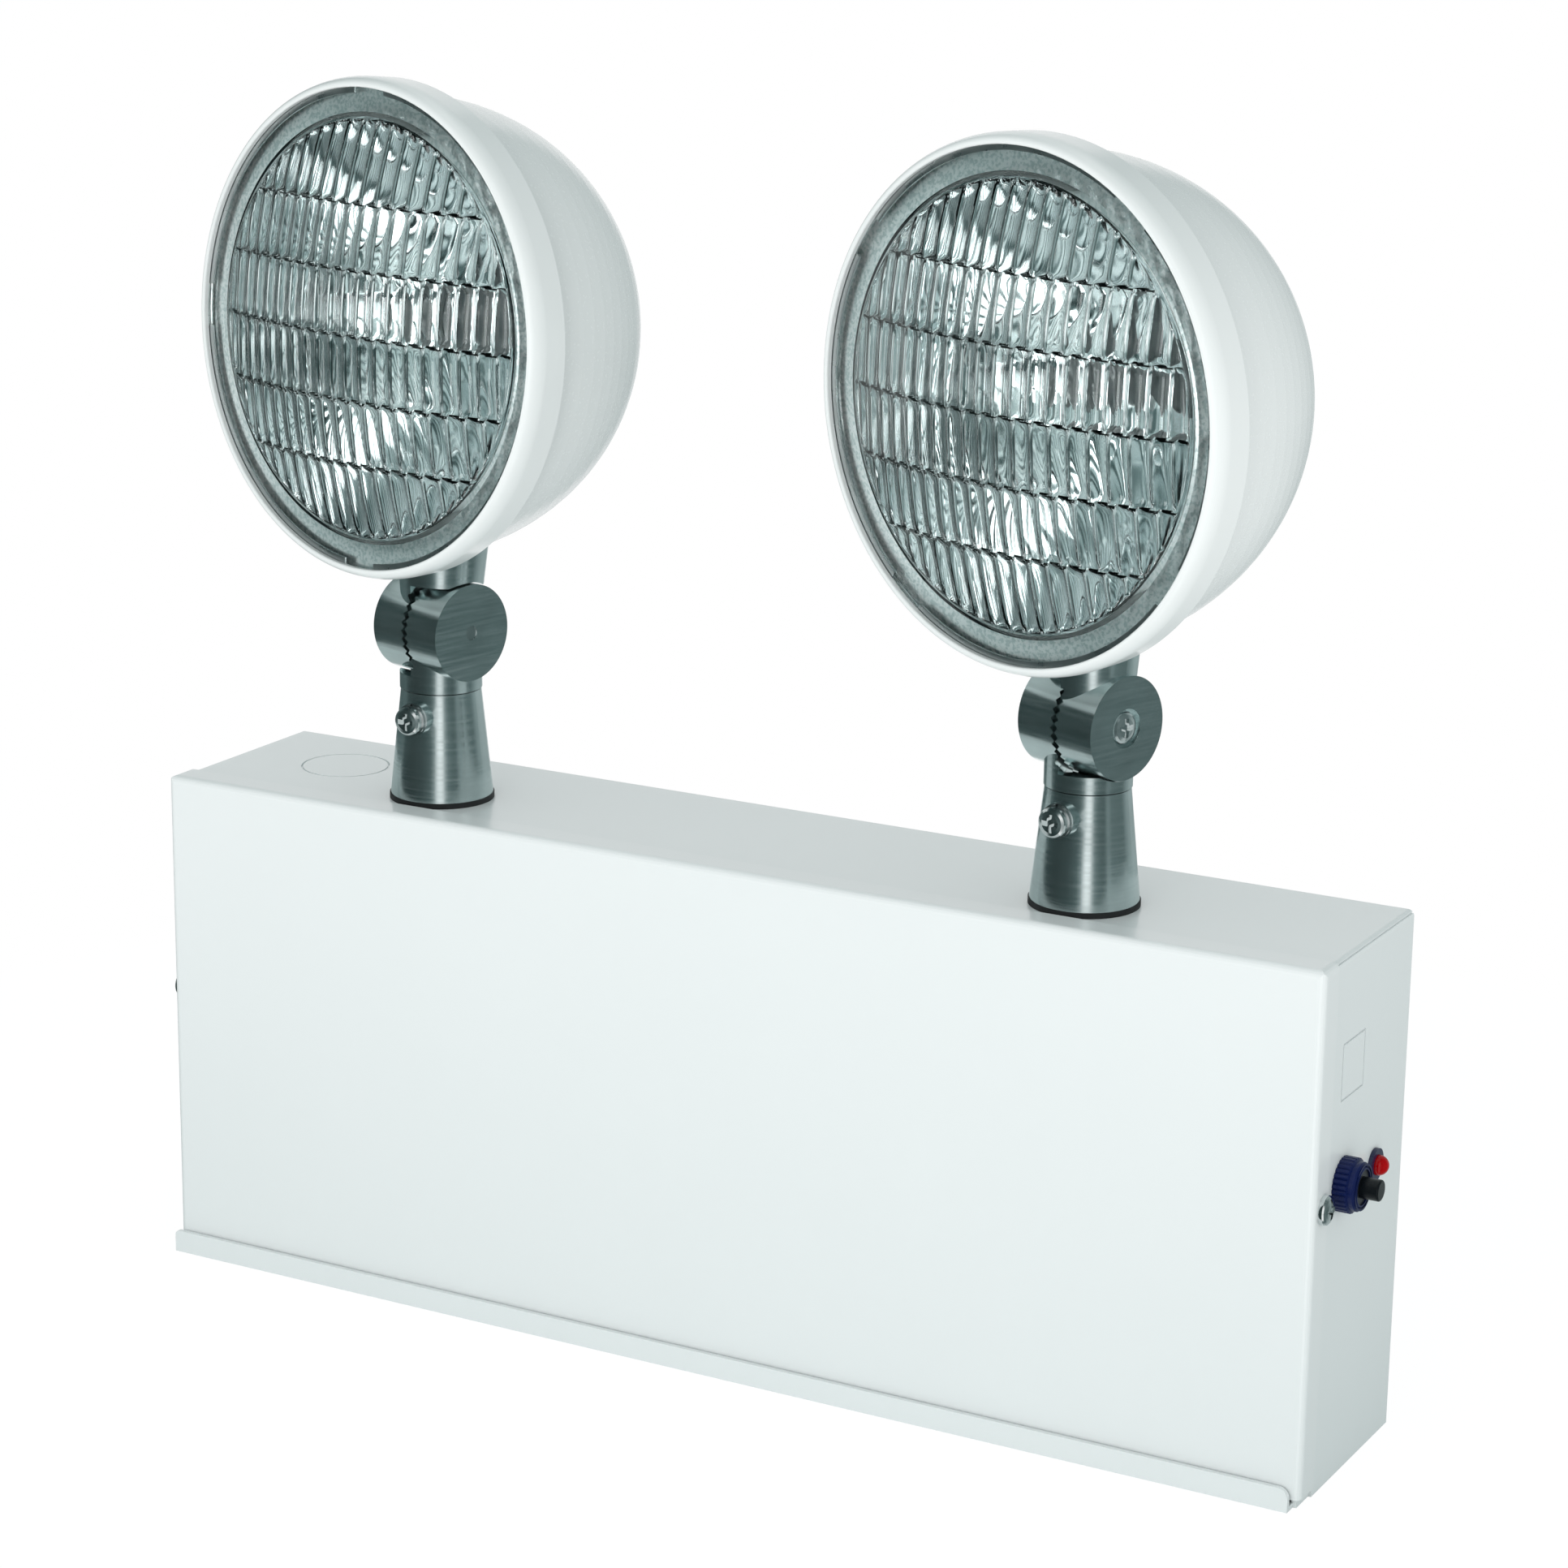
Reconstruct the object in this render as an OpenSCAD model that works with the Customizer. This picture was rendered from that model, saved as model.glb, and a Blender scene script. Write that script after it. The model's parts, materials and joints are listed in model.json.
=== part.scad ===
// Twin head emergency light. A white sheet steel cabinet holds a battery and its charger, and two
// sealed beam lamp heads stand on its top on swivels that pan and tilt. A test button and a pilot
// light sit on its right side. Units are millimetres, +Z is up, the front faces -Y, and the origin
// is the middle of the cabinet's bottom face.

/* [Cabinet] */
// Width of the front cover
cover_w = 306; // [298:1:330]
// Height from the base to the top of the cover
cabinet_h = 125.2; // [122:0.1:135]
// Depth from the face of the cover to the wall
cabinet_d = 55.3; // [55:0.1:64]
// Thickness of the sheet steel
sheet_t = 1.2; // [0.9:0.05:1.3]
// Depth of the cover's top and side flanges
cover_flange = 8.3; // [8:0.1:12]
// Outer radius of the cover's bends
bend_r = 1.8; // [1.5:0.1:3]
// Height of the lip that stands in front of the cover
lip_h = 5.6; // [4:0.1:9]
// Gap between the lip and the cover
lip_gap = 0.8; // [0.4:0.1:1.5]
// Gap between the base and the cover's lower edge
cover_lift = 2.4; // [1.6:0.1:4]
// How far the lip passes the cover on the left
lip_over = 0.2; // [0:0.1:1]
// How far the lip stops short of the cover on the right
lip_short = 2.1; // [0.5:0.1:4]
// How far the body steps out behind the cover's flanges
joggle = 0.7; // [0.4:0.05:0.8]

/* [Knockouts and wall fixings] */
// Diameter of the round knockouts
knockout_d = 22.2; // [20:0.1:24]
// Side of the square knockout on the right side
square_knockout = 13; // [10:0.1:16]
// Distance between the junction box screws
box_screw_spacing = 88.9; // [80:0.1:92]
// Diameter of the junction box screw holes
box_screw_d = 5; // [4:0.1:6]
// Distance between the two keyholes
keyhole_spacing = 203.2; // [190:0.1:220]
// Diameter of the round entry of a keyhole
keyhole_d = 9.5; // [8:0.1:11]
// Width of the slot of a keyhole
keyhole_slot_w = 4.8; // [4:0.1:6]

/* [Swivels] */
// Distance between the two swivels
swivel_spacing = 172.6; // [165:0.1:185]
// Diameter of the foot of the cone
cone_foot_d = 25; // [24:0.1:26]
// Diameter of the top of the cone
cone_top_d = 19.5; // [18.5:0.1:20.5]
// Height of the cone
cone_h = 26.2; // [25:0.1:32]
// Thickness of the gasket under the cone
gasket_t = 1.3; // [1:0.1:3]
// Diameter of the collar that turns on the cone
collar_d = 20; // [19:0.1:20.5]
// Height of the tilt pivot above the cone
pivot_rise = 15.1; // [14.6:0.1:18]
// Diameter of the knuckle's ears
ear_d = 23.7; // [22.5:0.1:24.5]
// Width across both ears
knuckle_w = 21.8; // [20:0.1:24]
// Number of serrations on the face of each ear
serrations = 36; // [24:4:40]
// Diameter of the shank that turns inside the cone
shank_d = 12.5; // [11.5:0.1:13]
// Diameter of the tilt screw
tilt_screw_d = 5; // [4:0.1:5.5]
// Diameter of the clamp screw
clamp_screw_d = 4; // [3:0.1:4.4]

/* [Head pose in degrees] */
// Pan of the left head, from the front towards the left
pan_left = 13.8; // [-40:0.1:40]
// Pan of the right head, from the front towards the left
pan_right = 17.8; // [-40:0.1:40]
// Upward tilt of the left head
tilt_left = 2.7; // [-10:0.1:10]
// Upward tilt of the right head
tilt_right = -0.5; // [-10:0.1:10]

/* [Lamp heads] */
// Height of the lamp axis above the tilt pivot
head_rise = 73.2; // [72:0.1:80]
// Distance from the swivel axis forward to the face of the bezel
face_reach = 28.4; // [26:0.1:30]
// Outer diameter of the bezel's bead
bezel_d = 117; // [116.8:0.1:120]
// Outer diameter of the bezel at its rear edge
band_d = 116.4; // [116.2:0.1:116.8]
// Diameter of the bezel's opening
opening_d = 112; // [110.6:0.1:112]
// Depth of the bezel
bezel_depth = 10.2; // [10:0.1:13]
// Depth of the rounded bead at the front of the bezel
bead_depth = 4.1; // [3:0.1:4.5]
// Thickness of the bezel's metal
bezel_t = 0.9; // [0.6:0.05:1]
// Outer diameter of the shell where it meets the bezel
shell_d = 109.4; // [107:0.1:111]
// Depth of the shell behind the bezel
shell_depth = 58.3; // [56:0.1:64]
// Exponent of the shell's outline, 2 for an ellipse
shell_exponent = 2.18; // [2:0.01:2.6]
// Thickness of the shell's metal
shell_t = 1; // [0.7:0.05:1.3]

/* [Lamps] */
// Diameter of the sealed beam lamp at its rim
lamp_d = 113.8; // [113.2:0.1:114]
// Diameter of the lens's fluted field
field_d = 96.6; // [92:0.1:99]
// How far the middle of the lens stands in front of the edge of its field
lens_bulge = 8; // [6:0.1:10]
// Distance of the edge of the field behind the bezel's face
field_set = 0.7; // [0.4:0.1:1.2]
// Thickness of the lens glass without its flutes
lens_t = 2.4; // [2:0.1:3]
// Height of one band of flutes
band_pitch = 15; // [13:0.1:15.5]
// Width of one flute
flute_pitch = 5; // [4:0.1:6]
// Depth of the flutes
flute_depth = 1; // [0.5:0.1:1.4]
// Gap between the screws on the lamp's back and the shell
lamp_back_gap = 9.3; // [5:0.1:12]
// Thickness of the reflector glass
reflector_t = 2.2; // [1.6:0.1:2.6]
// Diameter of the bulb
bulb_d = 8.4; // [7:0.1:9]

/* [Battery] */
// Length of the battery
battery_l = 151; // [140:1:155]
// Depth of the battery
battery_d = 34; // [30:1:35]
// Gap between the battery and the top of the cabinet, inside
battery_top_gap = 28.2; // [26:0.1:40]
// Gap between the battery and the left side of the cabinet
battery_left_gap = 12.5; // [12:0.1:16]
// Height of the strap round the battery
strap_h = 14; // [10:1:20]
// Thickness of the straps
strap_t = 1.5; // [1:0.1:2]

/* [Charger] */
// Width of the transformer's core
core_w = 57; // [50:1:60]
// Gap between the transformer and the circuit board above it
core_gap = 10.8; // [8:0.1:20]
// Thickness of the stack of core plates
core_t = 19; // [16:1:20]
// Width of the circuit board
board_w = 74; // [72:1:76]
// Height of the circuit board
board_h = 56; // [54:1:58]
// Gap between the circuit board and the top of the cabinet, inside
board_top_gap = 7.4; // [6:0.1:12]
// Length of the posts that hold the board
standoff_l = 8; // [6:0.5:9]

/* [Test switch and pilot light] */
// Height of the test button above the base
switch_z = 71.5; // [66:0.1:80]
// Distance of the button's axis in front of the middle of the cabinet
switch_y = 9.8; // [9:0.1:11]
// Height of the pilot light above the base
pilot_z = 69.7; // [66:0.1:80]
// Distance of the pilot light behind the middle of the cabinet
pilot_y = 9.7; // [6:0.1:12]
// Diameter of the knurled nut
switch_nut_d = 12.6; // [12:0.1:14]
// Thickness of the knurled nut
switch_nut_t = 5.2; // [4.5:0.1:6]
// Diameter of the test button
button_d = 4.9; // [4.6:0.1:5.4]
// How far the test button stands out of the side of the cabinet
button_reach = 9.3; // [9:0.1:13]
// Travel of the test button
button_travel = 3; // [2:0.1:3.2]
// Diameter of the pilot light's lens
pilot_d = 4.7; // [4:0.1:5]

/* [Clearances] */
// Running clearance round shafts, pins and plungers, on the radius
run_clear = 0.05; // [0.02:0.01:0.08]
// Clearance between parts that are seated on each other, at curved faces
seat_clear = 0.1; // [0.05:0.01:0.15]
// Clearance between the cover and the body
cover_clear = 0.1; // [0.05:0.05:0.2]
// Gap between faces of parts that move past each other
move_gap = 0.3; // [0.2:0.05:0.4]

/* [Hidden] */
$fn = 72;
// Finer rounding, for a small piece with a large radius
fine_fn = 200;
LEFT = -1;
RIGHT = 1;
// How far a cutting shape runs past the face that it cuts
overrun = 1;
// Steps of a rounded bend and of a curved profile
bend_steps = 5;
profile_steps = 22;

// Planes of the cabinet
front_y = -cabinet_d / 2;
back_y = cabinet_d / 2;
flange_y = front_y + cover_flange;
lip_y = front_y - lip_gap - sheet_t;
// The body's front part fits inside the cover, and the rest is wider and higher by the joggle
front_w = cover_w - 2 * (sheet_t + cover_clear);
front_top = cabinet_h - sheet_t - cover_clear;
body_w = front_w + 2 * joggle;
body_top = front_top + joggle;
// Gap between the body's front edge and the inside of the cover
body_edge_gap = 0.3;
body_y = front_y + sheet_t + body_edge_gap;
// Gap between the joggle and the cover's flanges
joggle_gap = 0.25;
joggle_y = flange_y + joggle_gap;
body_bend_r = 1.5;
inner_w = body_w - 2 * sheet_t;
inner_back = back_y - sheet_t;
inner_top = body_top - sheet_t;
lip_corner_r = 2.5;
// Groove in the bend where the top and right side sheets meet
seam_w = 0.3;
seam_inset = 0.65;
seam_drop = 0.75;

// Scored knockouts and wall fixings
score_w = 0.5;
score_d = 0.4;
top_knockout_inset = 29.8;
top_knockout_x = top_knockout_inset - body_w / 2;
top_knockout_y = 5.2;
square_knockout_y = -6.4;
square_knockout_drop = 26.6;
square_knockout_z = body_top - square_knockout_drop;
wall_hole_gap = 1.8;
wall_hole_z = inner_top - knockout_d / 2 - wall_hole_gap;
keyhole_slot_l = 6;

// Cover screws
cover_screw_d = 3.8;
cover_screw_head_d = 6.8;
cover_screw_head_h = 2.2;
cover_screw_z = 69.5;
cover_screw_l = 6;
cover_screw_share = 2 / 3;
cover_screw_y = front_y + cover_flange * cover_screw_share;

// Pan head screws: shares of the head's height and width
crown_share = 0.55;
recess_w_share = 0.17;
recess_l_share = 0.6;
recess_floor_share = 0.4;

// Swivels
gasket_over = 0.25;
// Gap between the cover's top flange and the gasket
gasket_gap = 0.75;
gasket_r = cone_foot_d / 2 + gasket_over;
swivel_x = swivel_spacing / 2;
swivel_y = flange_y + gasket_r + gasket_gap;
cone_z = body_top + gasket_t;
cone_top_z = cone_z + cone_h;
pivot_z = cone_top_z + pivot_rise;
collar_z = cone_top_z + move_gap;
stem_d = 16;
stem_l = 14;
stem_bore_d = 10;
stem_clear = 0.2;
shank_l = 21;
shank_z = cone_top_z - shank_l;
wire_bore_d = 6.4;
locknut_w = 22;
locknut_t = 5;

// Clamp screw with its lock washer, on a small boss of the cone
clamp_drop = 5.6;
clamp_z = cone_top_z - clamp_drop;
clamp_boss_d = 8;
clamp_boss_reach = 12.3;
clamp_washer_d = 7.6;
clamp_washer_t = 1.1;
clamp_head_d = 7;
clamp_head_h = 2.7;
clamp_groove = 1.3;
clamp_groove_w = 6;
washer_split_turn = 20;
clamp_turn_left = 0;
clamp_turn_right = 7;

// Knuckles
split_gap = 0.2;
ear_t = (knuckle_w - split_gap) / 2;
saddle_clear = 0.4;
// How high the collar reaches past its joint, opposite its ear
collar_h = 3.9;
serration_w = 1.5;
serration_from = 8;
cavity_d = 14;
cavity_depth = 5;
screw_boss_d = 7;
tilt_recess_d = 9;
tilt_recess_depth = 1.7;
tilt_head_d = 7.4;
tilt_head_h = 1.9;
tilt_end_d = 3.4;
tilt_end_l = 2;
tilt_end_set = 0.2;
neck_d = 20;
neck_top_d = 23;
neck_flare_z = 9;
neck_reach = 26;
neck_low = pivot_rise - move_gap - collar_h;
wire_bore_gap = 0.8;
wire_bore_end = screw_boss_d / 2 + wire_bore_gap;
stud_root = 1;
stud_z = ear_d / 2 + saddle_clear + stud_root;

// Shell, its stud, washer and nut
shell_r = shell_d / 2;
shell_flat = 1.8;
shell_s = bezel_depth;
shell_rim_t = 1;
bezel_r = bezel_d / 2;
band_r = band_d / 2;
opening_r = opening_d / 2;
roll_r = 0.5;
// How far the bead turns from its widest place to the rolled edge, in degrees
bead_turn = 80;
hem_depth = 1.4;
bezel_inner_r = band_r - bezel_t;
shell_rim_r = bezel_inner_r - move_gap;
stud_d = 9.2;
stud_hole_clear = 0.1;
shell_washer_d = 15;
shell_washer_t = 3.4;
shell_washer_top = head_rise - inner_radius_at(face_reach) + shell_washer_t;
washer_slope = (inner_radius_at(face_reach - shell_washer_d / 2)
  - inner_radius_at(face_reach + shell_washer_d / 2)) / shell_washer_d;
shell_nut_w = 11;
shell_nut_t = 3.6;
stud_over = 1;
stud_top = shell_washer_top + shell_nut_t + stud_over;

// Lamp
lamp_r = lamp_d / 2;
field_r = field_d / 2;
lens_radius = (field_r * field_r + lens_bulge * lens_bulge) / (2 * lens_bulge);
lens_centre = field_set - lens_bulge + lens_radius;
lens_inner_radius = lens_radius - lens_t;
lens_shoulder = 1;
retainer_t = 0.5;
retainer_front_gap = 0.2;
ring_front = hem_depth + retainer_front_gap + retainer_t + seat_clear;
ring_inner_r = field_r + 2 * lens_shoulder;
lamp_edge = 1.1;
lens_rim_t = 2.9;
lamp_seam = ring_front + lens_rim_t;
lamp_back = bezel_depth - shell_rim_t - seat_clear;
lens_inner_r = field_r + lens_shoulder / 2;
half_bands = 3;
band_offset = -0.6;
band_gap = 0.6;
flute_root = 0.2;
flute_embed = 0.8;
flute_steps = 4;
terminal_l = 4;
terminal_screw_t = 1.6;
lamp_boss_over = 1.6;
lamp_boss_end = shell_s + shell_depth - shell_t - lamp_back_gap - terminal_screw_t - terminal_l;
vertex = lamp_boss_end - lamp_boss_over - reflector_t;
focal_length = pow(lens_inner_r, 2) / (4 * (vertex - lamp_seam));
reflector_rim_r = 52;
outer_focal = pow(reflector_rim_r, 2) / (4 * (vertex + reflector_t - lamp_back));
lamp_boss_d = 26;
bulb_base_d = 12;
bulb_base_l = 8;
bulb_l = 16;
terminal_x = 7;
terminal_d = 6;
terminal_screw_d = 5;
retainer_inset = 1.3;
retainer_inner_r = opening_r - retainer_inset;
retainer_clips = 4;
retainer_clip_w = 10;
// How far the clip places of the right head are turned round the lamp's axis, in degrees
retainer_turn = 35;
lead_d = 2;
lead_back_share = 0.4;
lead_spread_share = 0.5;

// Battery
battery_x = -inner_w / 2 + battery_left_gap;
battery_back = inner_back - seat_clear;
battery_top = inner_top - battery_top_gap;
battery_h = battery_top - sheet_t;
battery_lid = 12;
battery_lid_step = 0.6;
battery_terminal_w = 4.8;
battery_terminal_t = 0.8;
battery_terminal_h = 6.3;
battery_terminal_inset = 8;
battery_terminal_spacing = 20;
// Sleeves that push onto the terminals, at the ends of the leads
sleeve_wall = 0.8;
sleeve_top = 1.5;
strap_z_share = 0.42;
strap_z = sheet_t + battery_h * strap_z_share;
strap_foot = 10;

// Screws that hold the straps and the board, all alike
chassis_screw_d = 3.6;
chassis_head_d = 6.4;
chassis_head_h = 2;
chassis_screw_l = 2.6;

// Transformer
room_x = battery_x + battery_l;
room_w = inner_w / 2 - room_x;
core_share = 0.63;
core_x = room_x + core_w / 2 + strap_foot + seat_clear
  + core_share * (room_w - core_w - 2 * (strap_foot + seat_clear));
core_back_gap = 11;
core_back = inner_back - core_back_gap;
core_yoke = 9;
core_leg = core_w / 3;
coil_w = 34;
coil_over = 9.5;
lamination_pitch = 1.6;
lamination_groove = 0.4;
transformer_strap_h = 7;
transformer_strap_z = sheet_t + (core_yoke - transformer_strap_h) / 2;

// Circuit board
board_share = 0.61;
board_x = room_x + board_share * (room_w - board_w);
board_z = inner_top - board_top_gap - board_h;
core_h = board_z - core_gap - sheet_t;
board_t = 1.6;
board_back = inner_back - standoff_l;
board_front = board_back - board_t;
board_inset = 5;
standoff_d = 6;
relay_w = 19;
relay_h = 15.5;
relay_t = 15;
relay_inset = 9;
relay_rise = 26;
capacitor_d = 12;
capacitor_l = 18;
capacitor_inset = 42;
capacitor_rise = 32;
capacitor_spacing = 15;
capacitor_crimp = 1;
block_w = 40;
block_h = 10;
block_t = 12;
block_screw_gap = 0.8;
block_rise = 4;
block_x = board_x + board_inset + chassis_head_d / 2 + block_screw_gap;
block_z = board_z + block_rise;
block_poles = 8;
block_screw_d = 3.4;
block_screw_share = 0.6;
// Depth of the block's holes for the wires
block_entry_l = 7;

// Test switch and pilot light
side_x = body_w / 2;
side_inner = side_x - sheet_t;
switch_bush_d = 8;
switch_bush_set = 0.4;
switch_w = 12;
switch_h = 14;
switch_l = 14;
button_flange_d = 7;
button_flange_t = 2;
switch_front_wall = 2;
switch_spring_room = 1;
switch_cavity_l = button_travel + button_flange_t + switch_spring_room;
nut_chamfer = 0.7;
nut_groove = 0.5;
nut_groove_d = 9.6;
knurls = 30;
knurl_w = 0.5;
knurl_l = 3.1;
pilot_clip_d = 7.6;
pilot_clip_t = 1;
pilot_barrel_d = 6.2;
pilot_barrel_l = 5;
pilot_dome_x = 1.3;

// Wires inside the cabinet
wire_d = 2.2;
harness_d = 3.2;
wire_sides = 8;
wire_steps = 5;
steep_share = 0.7;

// Places of the battery's terminals, as [x, y]
battery_terminal_places = [for (i = [0, 1])
  [battery_x + battery_l - battery_terminal_inset - i * battery_terminal_spacing,
   battery_back - battery_d / 2]];
// Places of the screws, as [x, z]
strap_screw_reach = seat_clear + strap_t / 2 + strap_foot / 2;
strap_screw_places = [
  [battery_x - strap_screw_reach, strap_z + strap_h / 2],
  [battery_x + battery_l + strap_screw_reach, strap_z + strap_h / 2],
  [core_x - core_w / 2 - strap_screw_reach, transformer_strap_z + transformer_strap_h / 2],
  [core_x + core_w / 2 + strap_screw_reach, transformer_strap_z + transformer_strap_h / 2]
];
board_screw_places = [
  for (i = [board_inset, board_w - board_inset], j = [board_inset, board_h - board_inset])
    [board_x + i, board_z + j]
];

function pan_of(side) = side < 0 ? pan_left : pan_right;
function tilt_of(side) = side < 0 ? tilt_left : tilt_right;
function clamp_turn_of(side) = side < 0 ? clamp_turn_left : clamp_turn_right;
// Points along an arc about [cx, cy]
function arc(cx, cy, r, a0, a1, n) =
  [for (i = [0:n]) let (a = a0 + (a1 - a0) * i / n) [cx + r * cos(a), cy + r * sin(a)]];
// Points along a quarter of an ellipse with the half axes rx and ry
function oval(cx, cy, rx, ry, a0, a1, n) =
  [for (i = [0:n]) let (a = a0 + (a1 - a0) * i / n) [cx + rx * cos(a), cy + ry * sin(a)]];
// An upright outline with its two top corners rounded
function top_rounded(w, z0, z1, r) = concat(
  [[w / 2, z0]],
  arc(w / 2 - r, z1 - r, r, 0, 90, bend_steps),
  arc(-w / 2 + r, z1 - r, r, 90, 180, bend_steps),
  [[-w / 2, z0]]);
// A plan outline with its two front corners rounded
function front_rounded(w, y0, y1, r) = concat(
  [[-w / 2, y1]],
  arc(-w / 2 + r, y0 + r, r, 180, 270, bend_steps),
  arc(w / 2 - r, y0 + r, r, 270, 360, bend_steps),
  [[w / 2, y1]]);
// A side outline with its upper front corner rounded
function edge_rounded(y0, y1, z0, z1, r) = concat(
  [[y1, z0], [y1, z1]],
  arc(y0 + r, z1 - r, r, 90, 180, bend_steps),
  [[y0, z0]]);
// The outline of the shell as [radius, distance behind the bezel's face]
function bowl(r, depth) = [for (i = [0:profile_steps]) let (a = 90 * i / profile_steps)
  [shell_flat + (r - shell_flat) * pow(cos(a), 2 / shell_exponent),
   shell_s + depth * pow(sin(a), 2 / shell_exponent)]];
// Radius of the shell's inner face, less its seat clearance, at a distance behind the bezel's face
function inner_radius_at(s) = shell_flat + (shell_r - shell_t - shell_flat)
  * pow(1 - pow((s - shell_s) / (shell_depth - shell_t), shell_exponent), 1 / shell_exponent) - seat_clear;
// Distance of a ball's front behind the bezel's face, at a radius from the lamp's axis
function dome(radius, r) = lens_centre - sqrt(radius * radius - r * r);
// Points of a dome from its edge to its middle
function dome_points(radius, edge) =
  [for (i = [0:profile_steps / 2]) let (r = edge * (1 - 2 * i / profile_steps)) [r, dome(radius, r)]];
// Points of a parabola from one radius to another
function parabola(s, focal, r0, r1) = [for (i = [0:profile_steps / 2])
  let (r = r0 + (r1 - r0) * 2 * i / profile_steps) [r, s - r * r / (4 * focal)]];
function reverse(list) = [for (i = [len(list) - 1:-1:0]) list[i]];
// Radius of the reflector's outer face at a distance behind the bezel's face
function reflector_radius_at(s) = sqrt(4 * outer_focal * (vertex + reflector_t - s));
// Middle of one pole of the terminal block, on its front face
function pole_point(i) =
  [block_x + (i + 0.5) * block_w / block_poles, board_front - block_t, block_z + block_h / 2];
// The straight end of a wire of diameter d, into the hole of one pole
function pole_entry(i, d) =
  [for (reach = [-2 * d, -d / 2, block_entry_l]) pole_point(i) + [0, reach, 0]];

// Turns an outline in the XZ plane into a bar that runs from y0 to y1
module along_y(y0, y1) {
  translate([0, y1, 0]) rotate([90, 0, 0]) linear_extrude(height = y1 - y0) children();
}
// Turns an outline in the YZ plane into a bar that runs from x0 to x1
module along_x(x0, x1) {
  translate([x0, 0, 0]) rotate([90, 0, 90]) linear_extrude(height = x1 - x0) children();
}
// A block with soft bends along its front, top and side edges
module bent_block(w, z0, z1, y0, y1, r) {
  intersection() {
    along_y(y0, y1) polygon(top_rounded(w, z0, z1, r));
    translate([0, 0, z0]) linear_extrude(height = z1 - z0) polygon(front_rounded(w, y0, y1, r));
    along_x(-w / 2, w / 2) polygon(edge_rounded(y0, y1, z0, z1, r));
  }
}
// A rod along +X from x0 to x1
module rod_x(x0, x1, r) {
  translate([x0, 0, 0]) rotate([0, 90, 0]) cylinder(h = x1 - x0, r = r);
}
// A rod along +Y from y0 to y1
module rod_y(y0, y1, r) {
  translate([0, y1, 0]) rotate([90, 0, 0]) cylinder(h = y1 - y0, r = r);
}
function unit(v) = v / norm(v);
// Directions through the given points: along the first and last line, and between the two lines that
// meet at each other point
function headings(p) = [for (i = [0:len(p) - 1]) let (last = len(p) - 1)
  i == 0 ? unit(p[1] - p[0]) : i == last ? unit(p[last] - p[last - 1])
    : unit(unit(p[i] - p[i - 1]) + unit(p[i + 1] - p[i]))];
// Side directions, each turned as little as possible from the one before it
function sides(t, u, i = 0) =
  let (v = u - (u * t[i]) * t[i], w = v / norm(v))
  i == len(t) - 1 ? [w] : concat([w], sides(t, w, i + 1));
// A smooth path through the given points, with the directions t at them. It bends within each line's
// own length.
function smooth_path(p, t) = concat(
  [for (i = [0:len(p) - 2], j = [0:wire_steps - 1])
    let (u = j / wire_steps, v = 1 - u, reach = norm(p[i + 1] - p[i]))
      (v * v * (1 + 2 * u)) * p[i] + (u * u * (3 - 2 * u)) * p[i + 1]
        + (reach * u * v * v) * t[i] - (reach * u * u * v) * t[i + 1]],
  [p[len(p) - 1]]);
// A wire of diameter d through the given points
module wire(points, d) {
  path = smooth_path(points, headings(points));
  t = headings(path);
  u = sides(t, abs(t[0].x) < steep_share ? [1, 0, 0] : [0, 1, 0]);
  rings = [for (i = [0:len(path) - 1], j = [0:wire_sides - 1]) let (a = 360 * j / wire_sides)
    path[i] + (u[i] * cos(a) + cross(t[i], u[i]) * sin(a)) * d / 2];
  last = (len(path) - 1) * wire_sides;
  polyhedron(rings, concat(
    [[for (j = [0:wire_sides - 1]) j]],
    [for (i = [0:wire_sides:last - 1], j = [0:wire_sides - 1], k = [0, 1])
      let (next = (j + 1) % wire_sides)
        k == 0 ? [i + j, i + wire_sides + next, i + next]
          : [i + j, i + wire_sides + j, i + wire_sides + next]],
    [[for (j = [wire_sides - 1:-1:0]) last + j]]));
}
// A pan head screw with a cross recess. The head's seat is at z = 0 and its shank points down.
module pan_screw(head_d, head_h, shank_d, shank_l) {
  crown = head_h * crown_share;
  slot_w = head_d * recess_w_share;
  slot_l = head_d * recess_l_share;
  difference() {
    union() {
      rotate_extrude() polygon(concat(
        [[0, 0], [head_d / 2, 0]],
        oval(0, head_h - crown, head_d / 2, crown, 0, 90, bend_steps)));
      translate([0, 0, -shank_l]) cylinder(h = shank_l + head_h / 2, d = shank_d);
    }
    for (turn = [0, 90]) {
      rotate([0, 0, turn]) translate([-slot_l / 2, -slot_w / 2, head_h * recess_floor_share])
        cube([slot_l, slot_w, head_h]);
    }
  }
}
// A screw that is driven towards +Y, with its seat at the given point
module screw_to_back(x, y, z) {
  translate([x, y, z]) rotate([90, 0, 0])
    pan_screw(chassis_head_d, chassis_head_h, chassis_screw_d, chassis_screw_l);
}

// Cabinet

// A scored ring, cut into a face that looks up
module scored_ring(d) {
  translate([0, 0, -score_d]) difference() {
    cylinder(h = score_d + overrun, d = d);
    translate([0, 0, -overrun]) cylinder(h = score_d + 3 * overrun, d = d - 2 * score_w);
  }
}

module keyhole(x) {
  translate([x, 0, wall_hole_z]) {
    rod_y(inner_back - overrun, back_y + overrun, keyhole_d / 2);
    translate([-keyhole_slot_w / 2, inner_back - overrun, 0])
      cube([keyhole_slot_w, sheet_t + 2 * overrun, keyhole_slot_l]);
    translate([0, 0, keyhole_slot_l])
      rod_y(inner_back - overrun, back_y + overrun, keyhole_slot_w / 2);
  }
}

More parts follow.
